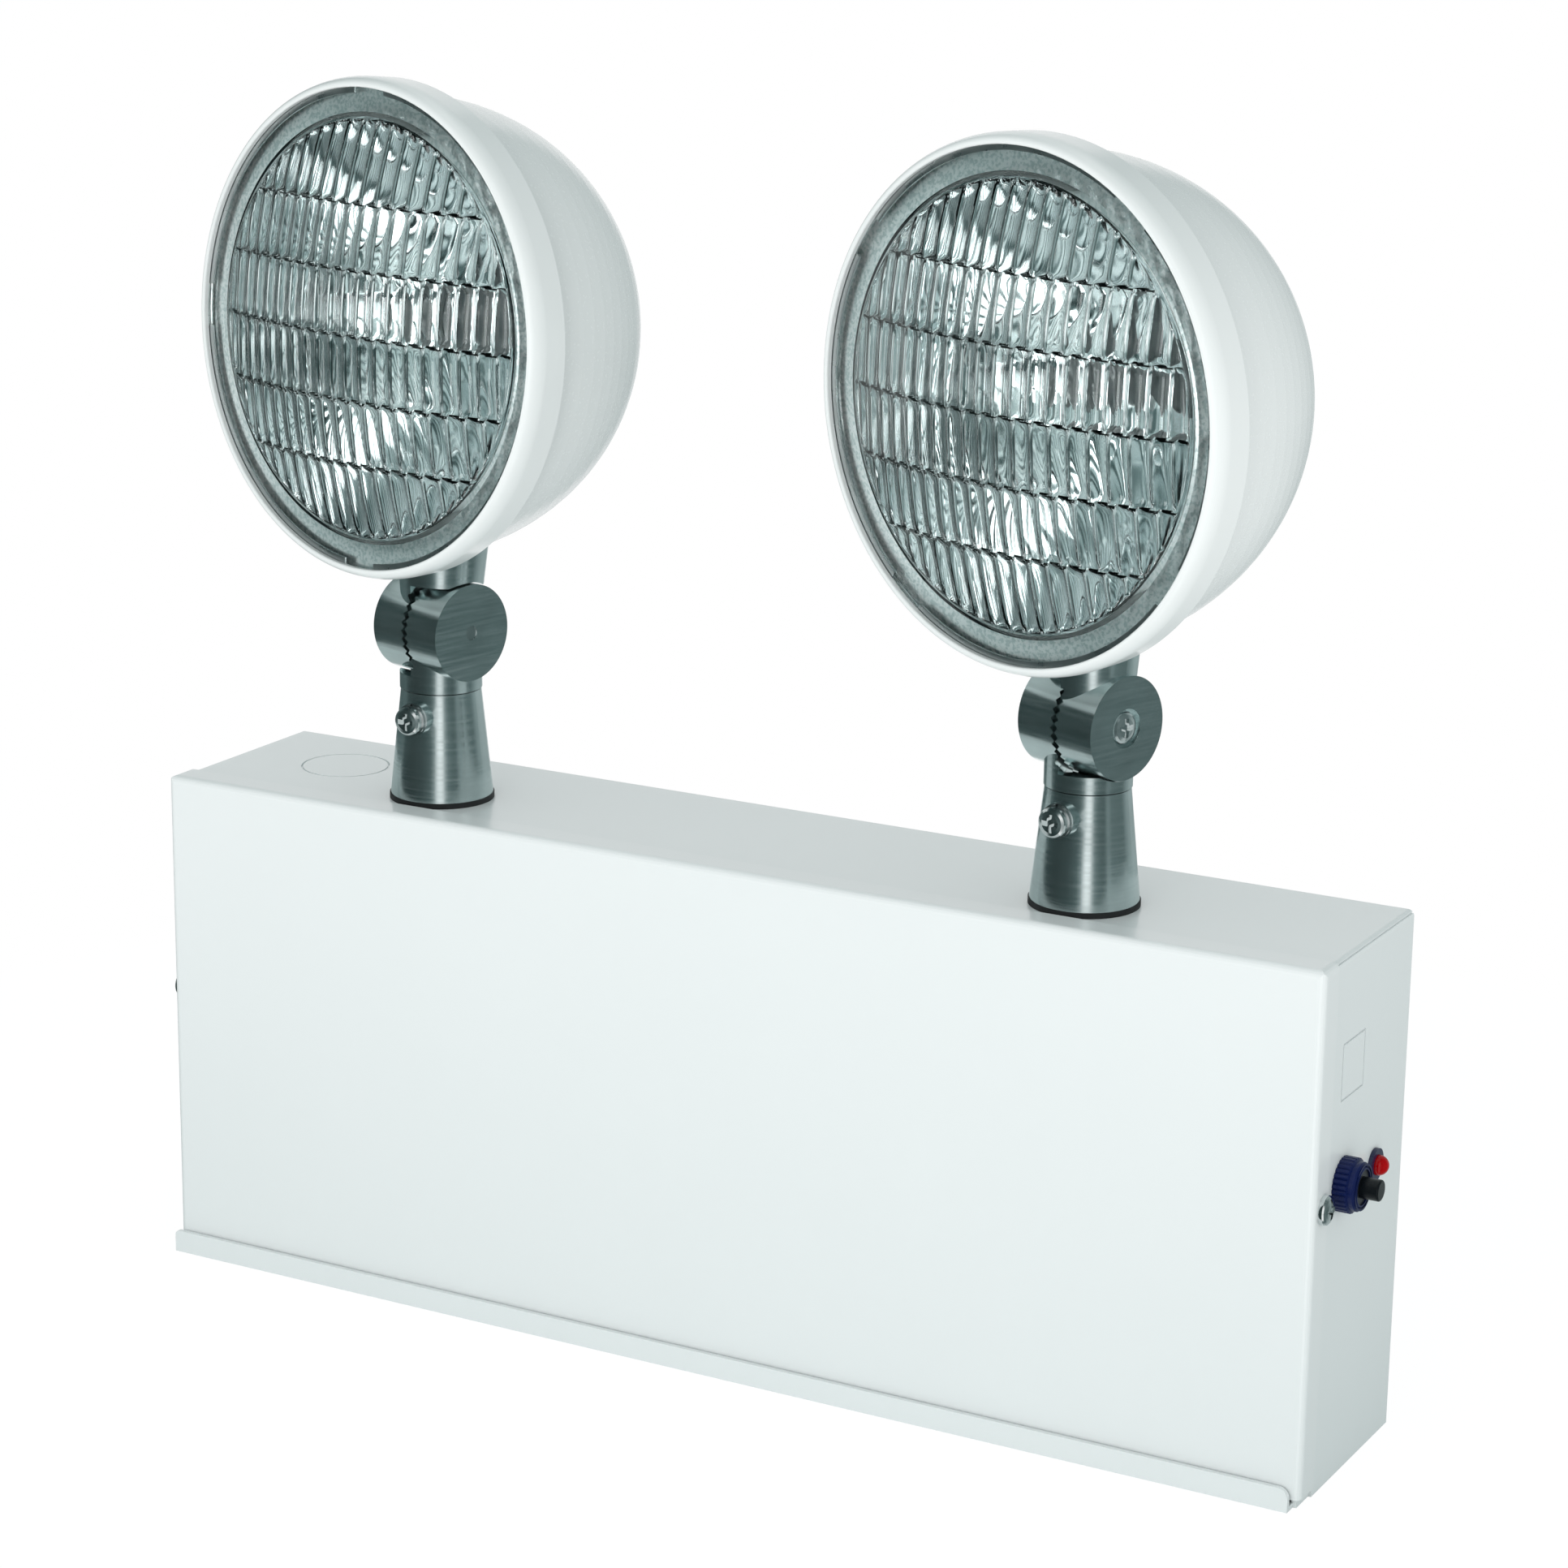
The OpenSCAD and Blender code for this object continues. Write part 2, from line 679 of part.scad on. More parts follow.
module back_box_sheets() {
  difference() {
    along_y(joggle_y, back_y) polygon(top_rounded(body_w, 0, body_top, body_bend_r));
    along_y(joggle_y - overrun, inner_back)
      polygon(top_rounded(inner_w, sheet_t, inner_top, body_bend_r - sheet_t));
  }
  difference() {
    along_y(body_y, joggle_y + sheet_t) polygon(top_rounded(front_w, 0, front_top, body_bend_r));
    along_y(body_y - overrun, joggle_y + sheet_t + overrun)
      polygon(top_rounded(front_w - 2 * sheet_t, sheet_t, front_top - sheet_t, body_bend_r - sheet_t));
  }
  translate([-cover_w / 2 - lip_over, lip_y, 0])
    cube([cover_w + lip_over - lip_short, body_y - lip_y + sheet_t, sheet_t]);
  along_y(lip_y, lip_y + sheet_t) polygon(concat(
    [[-cover_w / 2 - lip_over, 0], [cover_w / 2 - lip_short, 0]],
    arc(cover_w / 2 - lip_short - lip_corner_r, lip_h - lip_corner_r, lip_corner_r, 0, 90, bend_steps),
    arc(-cover_w / 2 - lip_over + sheet_t, lip_h - sheet_t, sheet_t, 90, 180, bend_steps)));
}

module back_box() {
  color([0.87, 0.91, 0.91]) difference() {
    back_box_sheets();
    // Holes for the swivels' stems
    for (side = [LEFT, RIGHT]) {
      translate([side * swivel_x, swivel_y, inner_top - overrun])
        cylinder(h = sheet_t + 2 * overrun, d = stem_d + 2 * stem_clear);
    }
    // Butt seam of the top and right side sheets
    translate([side_x - seam_inset, joggle_y - overrun, body_top - seam_drop])
      cube([seam_inset + overrun, cabinet_d, seam_w]);
    // Knockouts in the top and right side
    translate([top_knockout_x, top_knockout_y, body_top]) scored_ring(knockout_d);
    translate([side_x, square_knockout_y, square_knockout_z]) square_score();
    // Holes for the test switch, the pilot light and the cover screws
    translate([0, -switch_y, switch_z])
      rod_x(side_inner - overrun, side_x + overrun, switch_bush_d / 2 + stem_clear);
    translate([0, pilot_y, pilot_z])
      rod_x(side_inner - overrun, side_x + overrun, pilot_barrel_d / 2 + run_clear);
    for (side = [LEFT, RIGHT]) {
      translate([side * (front_w - sheet_t) / 2 - sheet_t, cover_screw_y, cover_screw_z])
        rod_x(0, 2 * sheet_t, cover_screw_d / 2 + run_clear);
    }
    // Wall fixings
    translate([0, back_y, wall_hole_z]) rotate([-90, 0, 0]) scored_ring(knockout_d);
    for (side = [LEFT, RIGHT]) {
      translate([side * box_screw_spacing / 2, 0, wall_hole_z])
        rod_y(inner_back - overrun, back_y + overrun, box_screw_d / 2);
      keyhole(side * keyhole_spacing / 2);
    }
    // Threaded holes of the strap screws
    for (place = strap_screw_places) {
      translate([place.x, 0, place.y])
        rod_y(inner_back - overrun, back_y + overrun, chassis_screw_d / 2 + run_clear);
    }
  }
}

// Four scored lines of the square knockout, cut into a face that looks towards +X
module square_score() {
  half = square_knockout / 2;
  for (turn = [0:90:270]) {
    rotate([turn, 0, 0]) translate([-score_d, -half, half - score_w / 2])
      cube([score_d + overrun, 2 * half, score_w]);
  }
}

module front_cover() {
  color([0.93, 0.96, 0.96]) difference() {
    bent_block(cover_w, cover_lift, cabinet_h, front_y, flange_y, bend_r);
    bent_block(cover_w - 2 * sheet_t, cover_lift - overrun, cabinet_h - sheet_t,
      front_y + sheet_t, flange_y + overrun, bend_r - sheet_t);
    for (side = [LEFT, RIGHT]) {
      translate([side * (cover_w - sheet_t) / 2 - sheet_t, cover_screw_y, cover_screw_z])
        rod_x(0, 2 * sheet_t, cover_screw_d / 2 + stem_clear);
    }
  }
}

module cover_screws() {
  color([0.75, 0.77, 0.77]) for (side = [LEFT, RIGHT]) {
    translate([side * cover_w / 2, cover_screw_y, cover_screw_z]) rotate([0, side * 90, 0])
      pan_screw(cover_screw_head_d, cover_screw_head_h, cover_screw_d, cover_screw_l);
  }
}

// Battery

module battery_case() {
  front = battery_back - battery_d;
  color([0.16, 0.16, 0.17]) difference() {
    translate([battery_x, front, sheet_t]) cube([battery_l, battery_d, battery_h]);
    // Step of the lid, all round
    translate([0, 0, battery_top - battery_lid]) difference() {
      translate([battery_x - overrun, front - overrun, 0])
        cube([battery_l + 2 * overrun, battery_d + 2 * overrun, battery_lid_step]);
      translate([battery_x + battery_lid_step, front + battery_lid_step, -overrun])
        cube([battery_l - 2 * battery_lid_step, battery_d - 2 * battery_lid_step,
          battery_lid_step + 2 * overrun]);
    }
  }
}

module battery_terminals() {
  color([0.85, 0.75, 0.4]) for (place = battery_terminal_places) {
    translate([place.x - battery_terminal_w / 2, place.y - battery_terminal_t / 2, battery_top])
      cube([battery_terminal_w, battery_terminal_t, battery_terminal_h]);
  }
}

// A strap that passes in front of a block and is screwed to the back with a foot on each side
module wall_strap(x0, x1, y, z, h) {
  for (edge = [[x0 - strap_t, x0 - strap_foot], [x1, x1]]) {
    translate([edge[0], y - strap_t, z]) cube([strap_t, inner_back - y + strap_t, h]);
    translate([edge[1], inner_back - strap_t, z]) cube([strap_foot, strap_t, h]);
  }
  translate([x0 - strap_t, y - strap_t, z]) cube([x1 - x0 + 2 * strap_t, strap_t, h]);
}

module battery_strap() {
  color([0.7, 0.72, 0.72]) difference() {
    wall_strap(battery_x - seat_clear, battery_x + battery_l + seat_clear,
      battery_back - battery_d - seat_clear, strap_z, strap_h);
    strap_holes();
  }
}

module strap_holes() {
  for (place = strap_screw_places) {
    translate([place.x, 0, place.y])
      rod_y(inner_back - strap_t - overrun, inner_back + overrun, chassis_screw_d / 2 + run_clear);
  }
}

module chassis_screws() {
  color([0.75, 0.77, 0.77]) {
    for (place = strap_screw_places) {
      screw_to_back(place.x, inner_back - strap_t, place.y);
    }
    for (place = board_screw_places) {
      screw_to_back(place.x, board_front, place.y);
    }
  }
}

// Charger

module transformer_core() {
  x0 = core_x - core_w / 2;
  half_window = (coil_w - core_leg) / 2;
  color([0.35, 0.36, 0.38]) difference() {
    translate([x0, core_back - core_t, sheet_t]) cube([core_w, core_t, core_h]);
    for (side = [LEFT, RIGHT]) {
      translate([core_x + side * (core_leg + half_window) / 2 - half_window / 2,
        core_back - core_t - overrun, sheet_t + core_yoke])
        cube([half_window, core_t + 2 * overrun, core_h - 2 * core_yoke]);
    }
    // Edges of the plates, as shallow steps on the top
    for (y = [lamination_pitch:lamination_pitch:core_t - lamination_groove]) {
      translate([x0 - overrun, core_back - y, sheet_t + core_h - lamination_groove / 2])
        cube([core_w + 2 * overrun, lamination_groove, lamination_groove]);
    }
  }
}

module transformer_coil() {
  z0 = sheet_t + core_yoke + seat_clear;
  color([0.75, 0.6, 0.25]) difference() {
    translate([core_x - coil_w / 2 + seat_clear, core_back - core_t - coil_over, z0])
      cube([coil_w - 2 * seat_clear, core_t + 2 * coil_over, core_h - 2 * core_yoke - 2 * seat_clear]);
    translate([core_x - core_leg / 2 - seat_clear, core_back - core_t - seat_clear, z0 - overrun])
      cube([core_leg + 2 * seat_clear, core_t + 2 * seat_clear, core_h]);
  }
}

module transformer_strap() {
  color([0.7, 0.72, 0.72]) difference() {
    wall_strap(core_x - core_w / 2 - seat_clear, core_x + core_w / 2 + seat_clear,
      core_back - core_t - seat_clear, transformer_strap_z, transformer_strap_h);
    strap_holes();
  }
}

module circuit_board() {
  color([0.15, 0.42, 0.25]) difference() {
    translate([board_x, board_front, board_z]) cube([board_w, board_t, board_h]);
    for (place = board_screw_places) {
      translate([place.x, 0, place.y])
        rod_y(board_front - overrun, board_back + overrun, chassis_screw_d / 2 + run_clear);
    }
  }
}

module board_standoffs() {
  color([0.75, 0.76, 0.77]) for (place = board_screw_places) {
    translate([place.x, 0, place.y]) difference() {
      rod_y(board_back, inner_back, standoff_d / 2);
      rod_y(board_back - overrun, board_back + chassis_screw_l, chassis_screw_d / 2 + run_clear);
    }
  }
}

module relay() {
  color([0.2, 0.35, 0.7]) translate([board_x + relay_inset, board_front - relay_t, board_z + relay_rise])
    cube([relay_w, relay_t, relay_h]);
}

module capacitors() {
  color([0.15, 0.15, 0.3]) for (i = [0, 1]) {
    translate([board_x + capacitor_inset + i * capacitor_spacing, board_front, board_z + capacitor_rise])
      rotate([90, 0, 0]) rotate_extrude() polygon([
        [0, 0], [capacitor_d / 2, 0], [capacitor_d / 2, capacitor_crimp],
        [capacitor_d / 2 - capacitor_crimp / 2, 2 * capacitor_crimp],
        [capacitor_d / 2, 3 * capacitor_crimp],
        [capacitor_d / 2, capacitor_l - capacitor_crimp / 2],
        [capacitor_d / 2 - capacitor_crimp / 2, capacitor_l], [0, capacitor_l]]);
  }
}

module terminal_block() {
  pole = block_w / block_poles;
  color([0.25, 0.5, 0.3]) difference() {
    translate([block_x, board_front - block_t, block_z]) cube([block_w, block_t, block_h]);
    for (i = [0:block_poles - 1]) {
      translate([block_x + (i + 0.5) * pole, board_front - block_t / 2,
        block_z + block_h * block_screw_share])
        cylinder(h = block_h, d = block_screw_d);
      // Hole for the wire
      translate([pole_point(i).x, 0, pole_point(i).z])
        rod_y(pole_point(i).y - overrun, pole_point(i).y + block_entry_l, harness_d / 2 + run_clear);
    }
  }
}

// Test switch and pilot light

module switch_body() {
  flange_front = side_inner - switch_front_wall;
  color([0.12, 0.13, 0.15]) translate([0, -switch_y, switch_z]) difference() {
    union() {
      translate([side_inner - switch_l, -switch_w / 2, -switch_h / 2])
        cube([switch_l, switch_w, switch_h]);
      rod_x(side_inner - switch_front_wall, side_x + switch_nut_t - switch_bush_set,
        switch_bush_d / 2);
    }
    rod_x(flange_front - overrun, side_x + switch_nut_t + overrun, button_d / 2 + run_clear);
    rod_x(flange_front - switch_cavity_l, flange_front, button_flange_d / 2 + run_clear);
  }
}

module switch_nut() {
  r = switch_nut_d / 2;
  color([0.14, 0.2, 0.36]) translate([side_x, -switch_y, switch_z]) rotate([0, 90, 0])
    difference() {
      rotate_extrude() polygon([
        [switch_bush_d / 2 + run_clear, 0], [r, 0], [r, knurl_l],
        [r - nut_chamfer, knurl_l + nut_chamfer / 2], [r - nut_chamfer, switch_nut_t - nut_chamfer],
        [r - 2 * nut_chamfer, switch_nut_t], [nut_groove_d / 2 + nut_groove, switch_nut_t],
        [nut_groove_d / 2, switch_nut_t - nut_groove],
        [nut_groove_d / 2 - nut_groove, switch_nut_t],
        [switch_bush_d / 2 + run_clear, switch_nut_t]]);
      for (i = [0:knurls - 1]) {
        rotate([0, 0, 360 * i / knurls]) translate([r, 0, -overrun]) rotate([0, 0, 45])
          translate([-knurl_w / 2, -knurl_w / 2, 0])
            cube([knurl_w, knurl_w, knurl_l + nut_chamfer + overrun]);
      }
    }
}

module test_button() {
  flange_front = side_inner - switch_front_wall - run_clear;
  edge = button_d / 12;
  color([0.1, 0.14, 0.16]) translate([0, -switch_y, switch_z]) {
    rod_x(flange_front - button_flange_t, flange_front, button_flange_d / 2);
    translate([flange_front - button_flange_t / 2, 0, 0]) rotate([0, 90, 0])
      rotate_extrude() polygon(concat(
        [[0, 0], [button_d / 2, 0]],
        arc(button_d / 2 - edge, side_x + button_reach - flange_front + button_flange_t / 2 - edge,
          edge, 0, 90, bend_steps),
        [[0, side_x + button_reach - flange_front + button_flange_t / 2]]));
  }
}

module pilot_clip() {
  color([0.1, 0.12, 0.25]) translate([0, pilot_y, pilot_z]) difference() {
    union() {
      rod_x(side_x, side_x + pilot_clip_t, pilot_clip_d / 2);
      rod_x(side_x - pilot_barrel_l, side_x + pilot_clip_t / 2, pilot_barrel_d / 2);
    }
    rod_x(side_x - pilot_barrel_l - overrun, side_x + pilot_clip_t + overrun,
      pilot_d / 2 + run_clear);
  }
}

module pilot_lens() {
  color([0.85, 0.05, 0.05]) translate([0, pilot_y, pilot_z]) {
    rod_x(side_x - pilot_barrel_l - pilot_clip_t, side_x + pilot_dome_x, pilot_d / 2);
    translate([side_x + pilot_dome_x, 0, 0]) rotate([0, 90, 0])
      rotate_extrude() polygon(concat([[0, 0]], arc(0, 0, pilot_d / 2, 0, 90, 2 * bend_steps)));
  }
}

// Wires inside the cabinet

module battery_leads() {
  color([0.7, 0.1, 0.1]) for (i = [0, 1]) {
    top = [battery_terminal_places[i].x, battery_terminal_places[i].y,
      battery_top + battery_terminal_h];
    entry = pole_entry(i, wire_d);
    lead_front = entry[0].y - 2 * i * wire_d;
    sleeve(top);
    wire(concat([top + [0, 0, sleeve_top / 2], top + [0, 0, (2 + i) * wire_d],
      top + [wire_d, -wire_d, (3 + i) * wire_d],
      [board_x - 4 * wire_d, lead_front, battery_top + battery_terminal_h + i * wire_d],
      [entry[0].x, lead_front - wire_d, entry[0].z + 2 * wire_d]], entry), wire_d);
  }
}

// A sleeve pushed down over the terminal whose top is at the given point
module sleeve(top) {
  room_x = battery_terminal_w / 2 + run_clear;
  room_y = battery_terminal_t / 2 + run_clear;
  translate(top) difference() {
    translate([-room_x - sleeve_wall, -room_y - sleeve_wall, -battery_terminal_h])
      cube([2 * (room_x + sleeve_wall), 2 * (room_y + sleeve_wall), battery_terminal_h + sleeve_top]);
    translate([-room_x, -room_y, -battery_terminal_h - overrun])
      cube([2 * room_x, 2 * room_y, battery_terminal_h + overrun]);
  }
}

module lamp_harness() {
  left_start = [-swivel_x, swivel_y, shank_z - 2 * harness_d];
  right_start = [swivel_x, swivel_y, shank_z - 2 * harness_d];
  left_entry = pole_entry(2, harness_d);
  right_entry = pole_entry(4, harness_d);
  turn_z = inner_top - stem_l - 2 * harness_d;
  run_y = swivel_y - 2 * harness_d;
  color([0.2, 0.2, 0.22]) {
    wire(concat([left_start, [left_start.x, left_start.y, turn_z],
      [left_start.x + 4 * harness_d, run_y, turn_z], [0, run_y, turn_z],
      [left_entry[0].x, run_y, (turn_z + left_entry[0].z) / 2]], left_entry), harness_d);
    wire(concat([right_start, [right_start.x, right_start.y, turn_z],
      [right_entry[0].x, run_y, (turn_z + right_entry[0].z) / 2]], right_entry), harness_d);
  }
}

module charger_leads() {
  coil_top = sheet_t + core_h - core_yoke - seat_clear;
  coil_front = core_back - core_t - coil_over;
  color([0.85, 0.85, 0.8]) {
    // From the coil's front end up to the block
    for (i = [5, 6]) {
      entry = pole_entry(i, wire_d);
      wire(concat([[entry[0].x, coil_front + wire_d, coil_top],
        [entry[0].x, coil_front + wire_d, coil_top + 2 * wire_d],
        [entry[0].x, entry[0].y - wire_d, entry[0].z - wire_d]], entry), wire_d);
    }
    // From the back of the test switch to the last pole
    wire(concat([[side_inner - switch_l, -switch_y, switch_z],
      [side_inner - switch_l - 2 * wire_d, -switch_y, switch_z]], pole_entry(7, wire_d)), wire_d);
  }
}

// Places for the pieces of one swivel and head

module at_swivel(side) {
  translate([side * swivel_x, swivel_y, 0]) children();
}
module at_pan(side) {
  at_swivel(side) rotate([0, 0, -pan_of(side)]) children();
}
// The tilt pivot, turned with the head
module at_head(side) {
  at_pan(side) translate([0, 0, pivot_z]) rotate([-tilt_of(side), 0, 0]) children();
}
// The middle of the bezel's face, with +Z along the lamp's axis towards the back
module at_face() {
  translate([0, -face_reach, head_rise]) rotate([-90, 0, 0]) children();
}

// Swivel base

module base_gasket(side) {
  color([0.08, 0.08, 0.09]) at_swivel(side) translate([0, 0, body_top]) difference() {
    cylinder(h = gasket_t, r = gasket_r);
    translate([0, 0, -overrun]) cylinder(h = gasket_t + 2 * overrun, d = stem_d + 2 * run_clear);
  }
}

module base_cone(side) {
  color([0.55, 0.6, 0.6]) at_swivel(side) difference() {
    union() {
      translate([0, 0, cone_z]) cylinder(h = cone_h, d1 = cone_foot_d, d2 = cone_top_d);
      translate([0, 0, body_top - stem_l]) cylinder(h = stem_l + gasket_t + overrun, d = stem_d);
      rotate([0, 0, -clamp_turn_of(side)]) translate([0, 0, clamp_z])
        rod_y(-clamp_boss_reach, -stem_bore_d / 2, clamp_boss_d / 2);
    }
    translate([0, 0, shank_z - run_clear]) cylinder(h = shank_l + overrun, d = shank_d + 2 * run_clear);
    translate([0, 0, body_top - stem_l - overrun])
      cylinder(h = shank_z - body_top + stem_l + overrun, d = stem_bore_d);
    rotate([0, 0, -clamp_turn_of(side)]) translate([0, 0, clamp_z])
      rod_y(-clamp_boss_reach - overrun, 0, clamp_screw_d / 2 + run_clear);
  }
}

module base_locknut(side) {
  color([0.7, 0.72, 0.72]) at_swivel(side) translate([0, 0, inner_top - locknut_t]) difference() {
    cylinder(h = locknut_t, r = locknut_w / 2 / cos(30), $fn = 6);
    translate([0, 0, -overrun]) cylinder(h = locknut_t + 2 * overrun, d = stem_d + 2 * run_clear);
  }
}

module clamp_screw(side) {
  seat = clamp_boss_reach + clamp_washer_t;
  tip = shank_d / 2 - clamp_groove + move_gap;
  color([0.72, 0.75, 0.75]) at_swivel(side) rotate([0, 0, -clamp_turn_of(side)])
    translate([0, -seat, clamp_z]) rotate([90, 0, 0])
      pan_screw(clamp_head_d, clamp_head_h, clamp_screw_d, seat - tip);
}

module clamp_washer(side) {
  color([0.65, 0.68, 0.68]) at_swivel(side) rotate([0, 0, -clamp_turn_of(side)])
    translate([0, 0, clamp_z]) difference() {
      rod_y(-clamp_boss_reach - clamp_washer_t, -clamp_boss_reach, clamp_washer_d / 2);
      rod_y(-clamp_boss_reach - clamp_washer_t - overrun, -clamp_boss_reach + overrun,
        clamp_screw_d / 2 + run_clear);
      // Split of the lock washer
      translate([0, -clamp_boss_reach - clamp_washer_t / 2, 0]) rotate([0, 0, washer_split_turn])
        translate([-clamp_washer_t / 4, -clamp_washer_t * 2, 0])
          cube([clamp_washer_t / 2, clamp_washer_t * 4, clamp_washer_d]);
    }
}

// Knuckles. Each is drawn with its ear on the +X side of the split, and turned where it goes.
module turned(dir) {
  rotate([0, 0, dir > 0 ? 0 : 180]) children();
}

// An ear's disc, about the pivot
module ear() {
  rotate([0, 90, 0]) translate([0, 0, split_gap / 2]) cylinder(h = ear_t, d = ear_d);
}

// Room for the other part's ear
module saddle() {
  rotate([0, -90, 0]) translate([0, 0, -split_gap / 2])
    cylinder(h = knuckle_w, r = ear_d / 2 + saddle_clear);
}

// What is cut from the split face of an ear: serrations round its rim, and a ring shaped room
// for the wires round the boss of the screw
module ear_cuts() {
  for (i = [0:serrations - 1]) {
    rotate([360 * i / serrations, 0, 0]) translate([split_gap / 2, 0, serration_from])
      rotate([0, 0, 45]) translate([-serration_w / 2, -serration_w / 2, 0])
        cube([serration_w, serration_w, ear_d / 2 - serration_from + serration_w]);
  }
  rotate([0, 90, 0]) difference() {
    cylinder(h = split_gap / 2 + cavity_depth, d = cavity_d);
    translate([0, 0, -overrun]) cylinder(h = cavity_depth + 3 * overrun, d = screw_boss_d);
  }
}

module lower_knuckle(side) {
  color([0.45, 0.5, 0.5]) at_pan(side) turned(-side) difference() {
    union() {
      translate([0, 0, shank_z]) cylinder(h = shank_l + collar_h / 2, d = shank_d);
      difference() {
        translate([0, 0, collar_z]) cylinder(h = pivot_z - collar_z, d = collar_d);
        // The collar stays low on the side of the other ear
        translate([-collar_d, -collar_d, collar_z + collar_h])
          cube([collar_d + split_gap / 2, 2 * collar_d, pivot_rise]);
        translate([0, 0, pivot_z]) saddle();
      }
      translate([0, 0, pivot_z]) ear();
    }
    translate([0, 0, pivot_z]) ear_cuts();
    // Groove for the tip of the clamp screw
    translate([0, 0, clamp_z - clamp_groove_w / 2]) difference() {
      cylinder(h = clamp_groove_w, d = shank_d + overrun);
      translate([0, 0, -overrun])
        cylinder(h = clamp_groove_w + 2 * overrun, d = shank_d - 2 * clamp_groove);
    }
    translate([0, 0, shank_z - overrun])
      cylinder(h = pivot_z - wire_bore_end - shank_z + overrun, d = wire_bore_d);
    // Threaded hole of the tilt screw
    translate([0, 0, pivot_z]) rotate([0, 90, 0]) {
      translate([0, 0, -overrun])
        cylinder(h = knuckle_w / 2 - tilt_end_l + overrun, d = tilt_screw_d + 2 * run_clear);
      cylinder(h = knuckle_w, d = tilt_end_d + 2 * run_clear);
    }
  }
}

module tilt_screw(side) {
  dir = side;
  seat = knuckle_w / 2 - tilt_recess_depth;
  color([0.72, 0.75, 0.75]) at_pan(side) translate([0, 0, pivot_z]) rotate([0, dir * 90, 0]) {
    translate([0, 0, seat])
      pan_screw(tilt_head_d, tilt_head_h, tilt_screw_d, seat + knuckle_w / 2 - tilt_end_l - run_clear);
    translate([0, 0, -knuckle_w / 2 + tilt_end_set]) cylinder(h = tilt_end_l * 2, d = tilt_end_d);
  }
}

module upper_knuckle(side) {
  color([0.45, 0.5, 0.5]) at_head(side) difference() {
    union() {
      difference() {
        turned(side) union() {
          ear();
          difference() {
            union() {
              cylinder(h = neck_flare_z, d = neck_d);
              translate([0, 0, neck_flare_z])
                cylinder(h = neck_reach - neck_flare_z, d1 = neck_d, d2 = neck_top_d);
            }
            // The neck stays high on the side of the other ear
            translate([-neck_top_d, -neck_top_d, -overrun])
              cube([neck_top_d + split_gap / 2, 2 * neck_top_d, neck_low + overrun]);
            saddle();
          }
        }
        at_face() rotate_extrude()
          polygon(concat([[0, shell_s]], bowl(shell_r + seat_clear, shell_depth + seat_clear)));
      }
      translate([0, 0, stud_z]) cylinder(h = stud_top - stud_z, d = stud_d);
    }
    turned(side) ear_cuts();
    translate([0, 0, wire_bore_end]) cylinder(h = stud_top, d = wire_bore_d);
    turned(side) rotate([0, 90, 0]) {
      cylinder(h = knuckle_w, d = tilt_screw_d + 2 * run_clear);
      translate([0, 0, knuckle_w / 2 - tilt_recess_depth]) cylinder(h = knuckle_w, d = tilt_recess_d);
    }
  }
}

// Shell and bezel

module shell(side) {
  inner_r = shell_r - shell_t;
  color([0.85, 0.89, 0.89]) at_head(side) difference() {
    at_face() rotate_extrude() polygon(concat(
      [[inner_r, shell_s - shell_rim_t], [shell_rim_r, shell_s - shell_rim_t], [shell_rim_r, shell_s]],
      bowl(shell_r, shell_depth), [[0, shell_s + shell_depth]],
      [[0, shell_s + shell_depth - shell_t]], reverse(bowl(inner_r, shell_depth - shell_t))));
    cylinder(h = head_rise, d = stud_d + 2 * stud_hole_clear);
  }
}

module bezel(side) {
  inner_opening = opening_r + bezel_t;
  color([0.93, 0.95, 0.95]) at_head(side) at_face() rotate_extrude() polygon(concat(
    [[opening_r, hem_depth]],
    arc(opening_r + roll_r, roll_r, roll_r, 180, 270, bend_steps),
    oval(opening_r + roll_r, bead_depth, bezel_r - opening_r - roll_r, bead_depth,
      -bead_turn, 0, 2 * bend_steps),
    [[band_r, bezel_depth], [band_r - bezel_t, bezel_depth]],
    oval(inner_opening, bead_depth, bezel_r - bezel_t - inner_opening, bead_depth - bezel_t,
      0, -bead_turn, bend_steps),
    [[inner_opening, hem_depth]]));
}

module shell_washer(side) {
  color([0.7, 0.72, 0.72]) at_head(side) difference() {
    intersection() {
      translate([0, 0, neck_flare_z]) cylinder(h = shell_washer_top - neck_flare_z, d = shell_washer_d);
      at_face() translate([0, 0, face_reach - shell_washer_d])
        cylinder(h = 2 * shell_washer_d, $fn = fine_fn,
          r1 = inner_radius_at(face_reach - shell_washer_d / 2) + washer_slope * shell_washer_d / 2,
          r2 = inner_radius_at(face_reach + shell_washer_d / 2) - washer_slope * shell_washer_d / 2);
    }
    cylinder(h = head_rise, d = stud_d + 2 * run_clear);
  }
}

module shell_nut(side) {
  color([0.7, 0.72, 0.72]) at_head(side) translate([0, 0, shell_washer_top]) difference() {
    cylinder(h = shell_nut_t, r = shell_nut_w / 2 / cos(30), $fn = 6);
    translate([0, 0, -overrun]) cylinder(h = shell_nut_t + 2 * overrun, d = stud_d + 2 * run_clear);
  }
}

// Sealed beam lamp

module lamp_retainer(side) {
  color([0.7, 0.74, 0.74]) at_head(side) at_face() translate([0, 0, ring_front - seat_clear - retainer_t])
    difference() {
      cylinder(h = retainer_t, r = lamp_r);
      translate([0, 0, -overrun]) cylinder(h = retainer_t + 2 * overrun, r = retainer_inner_r);
      for (i = [0:retainer_clips - 1]) {
        rotate([0, 0, (side == LEFT ? 0 : retainer_turn) + 360 * i / retainer_clips])
          translate([retainer_inner_r - overrun, -retainer_clip_w / 2, -overrun])
            cube([overrun + opening_r - retainer_inner_r + move_gap, retainer_clip_w,
              retainer_t + 2 * overrun]);
      }
    }
}

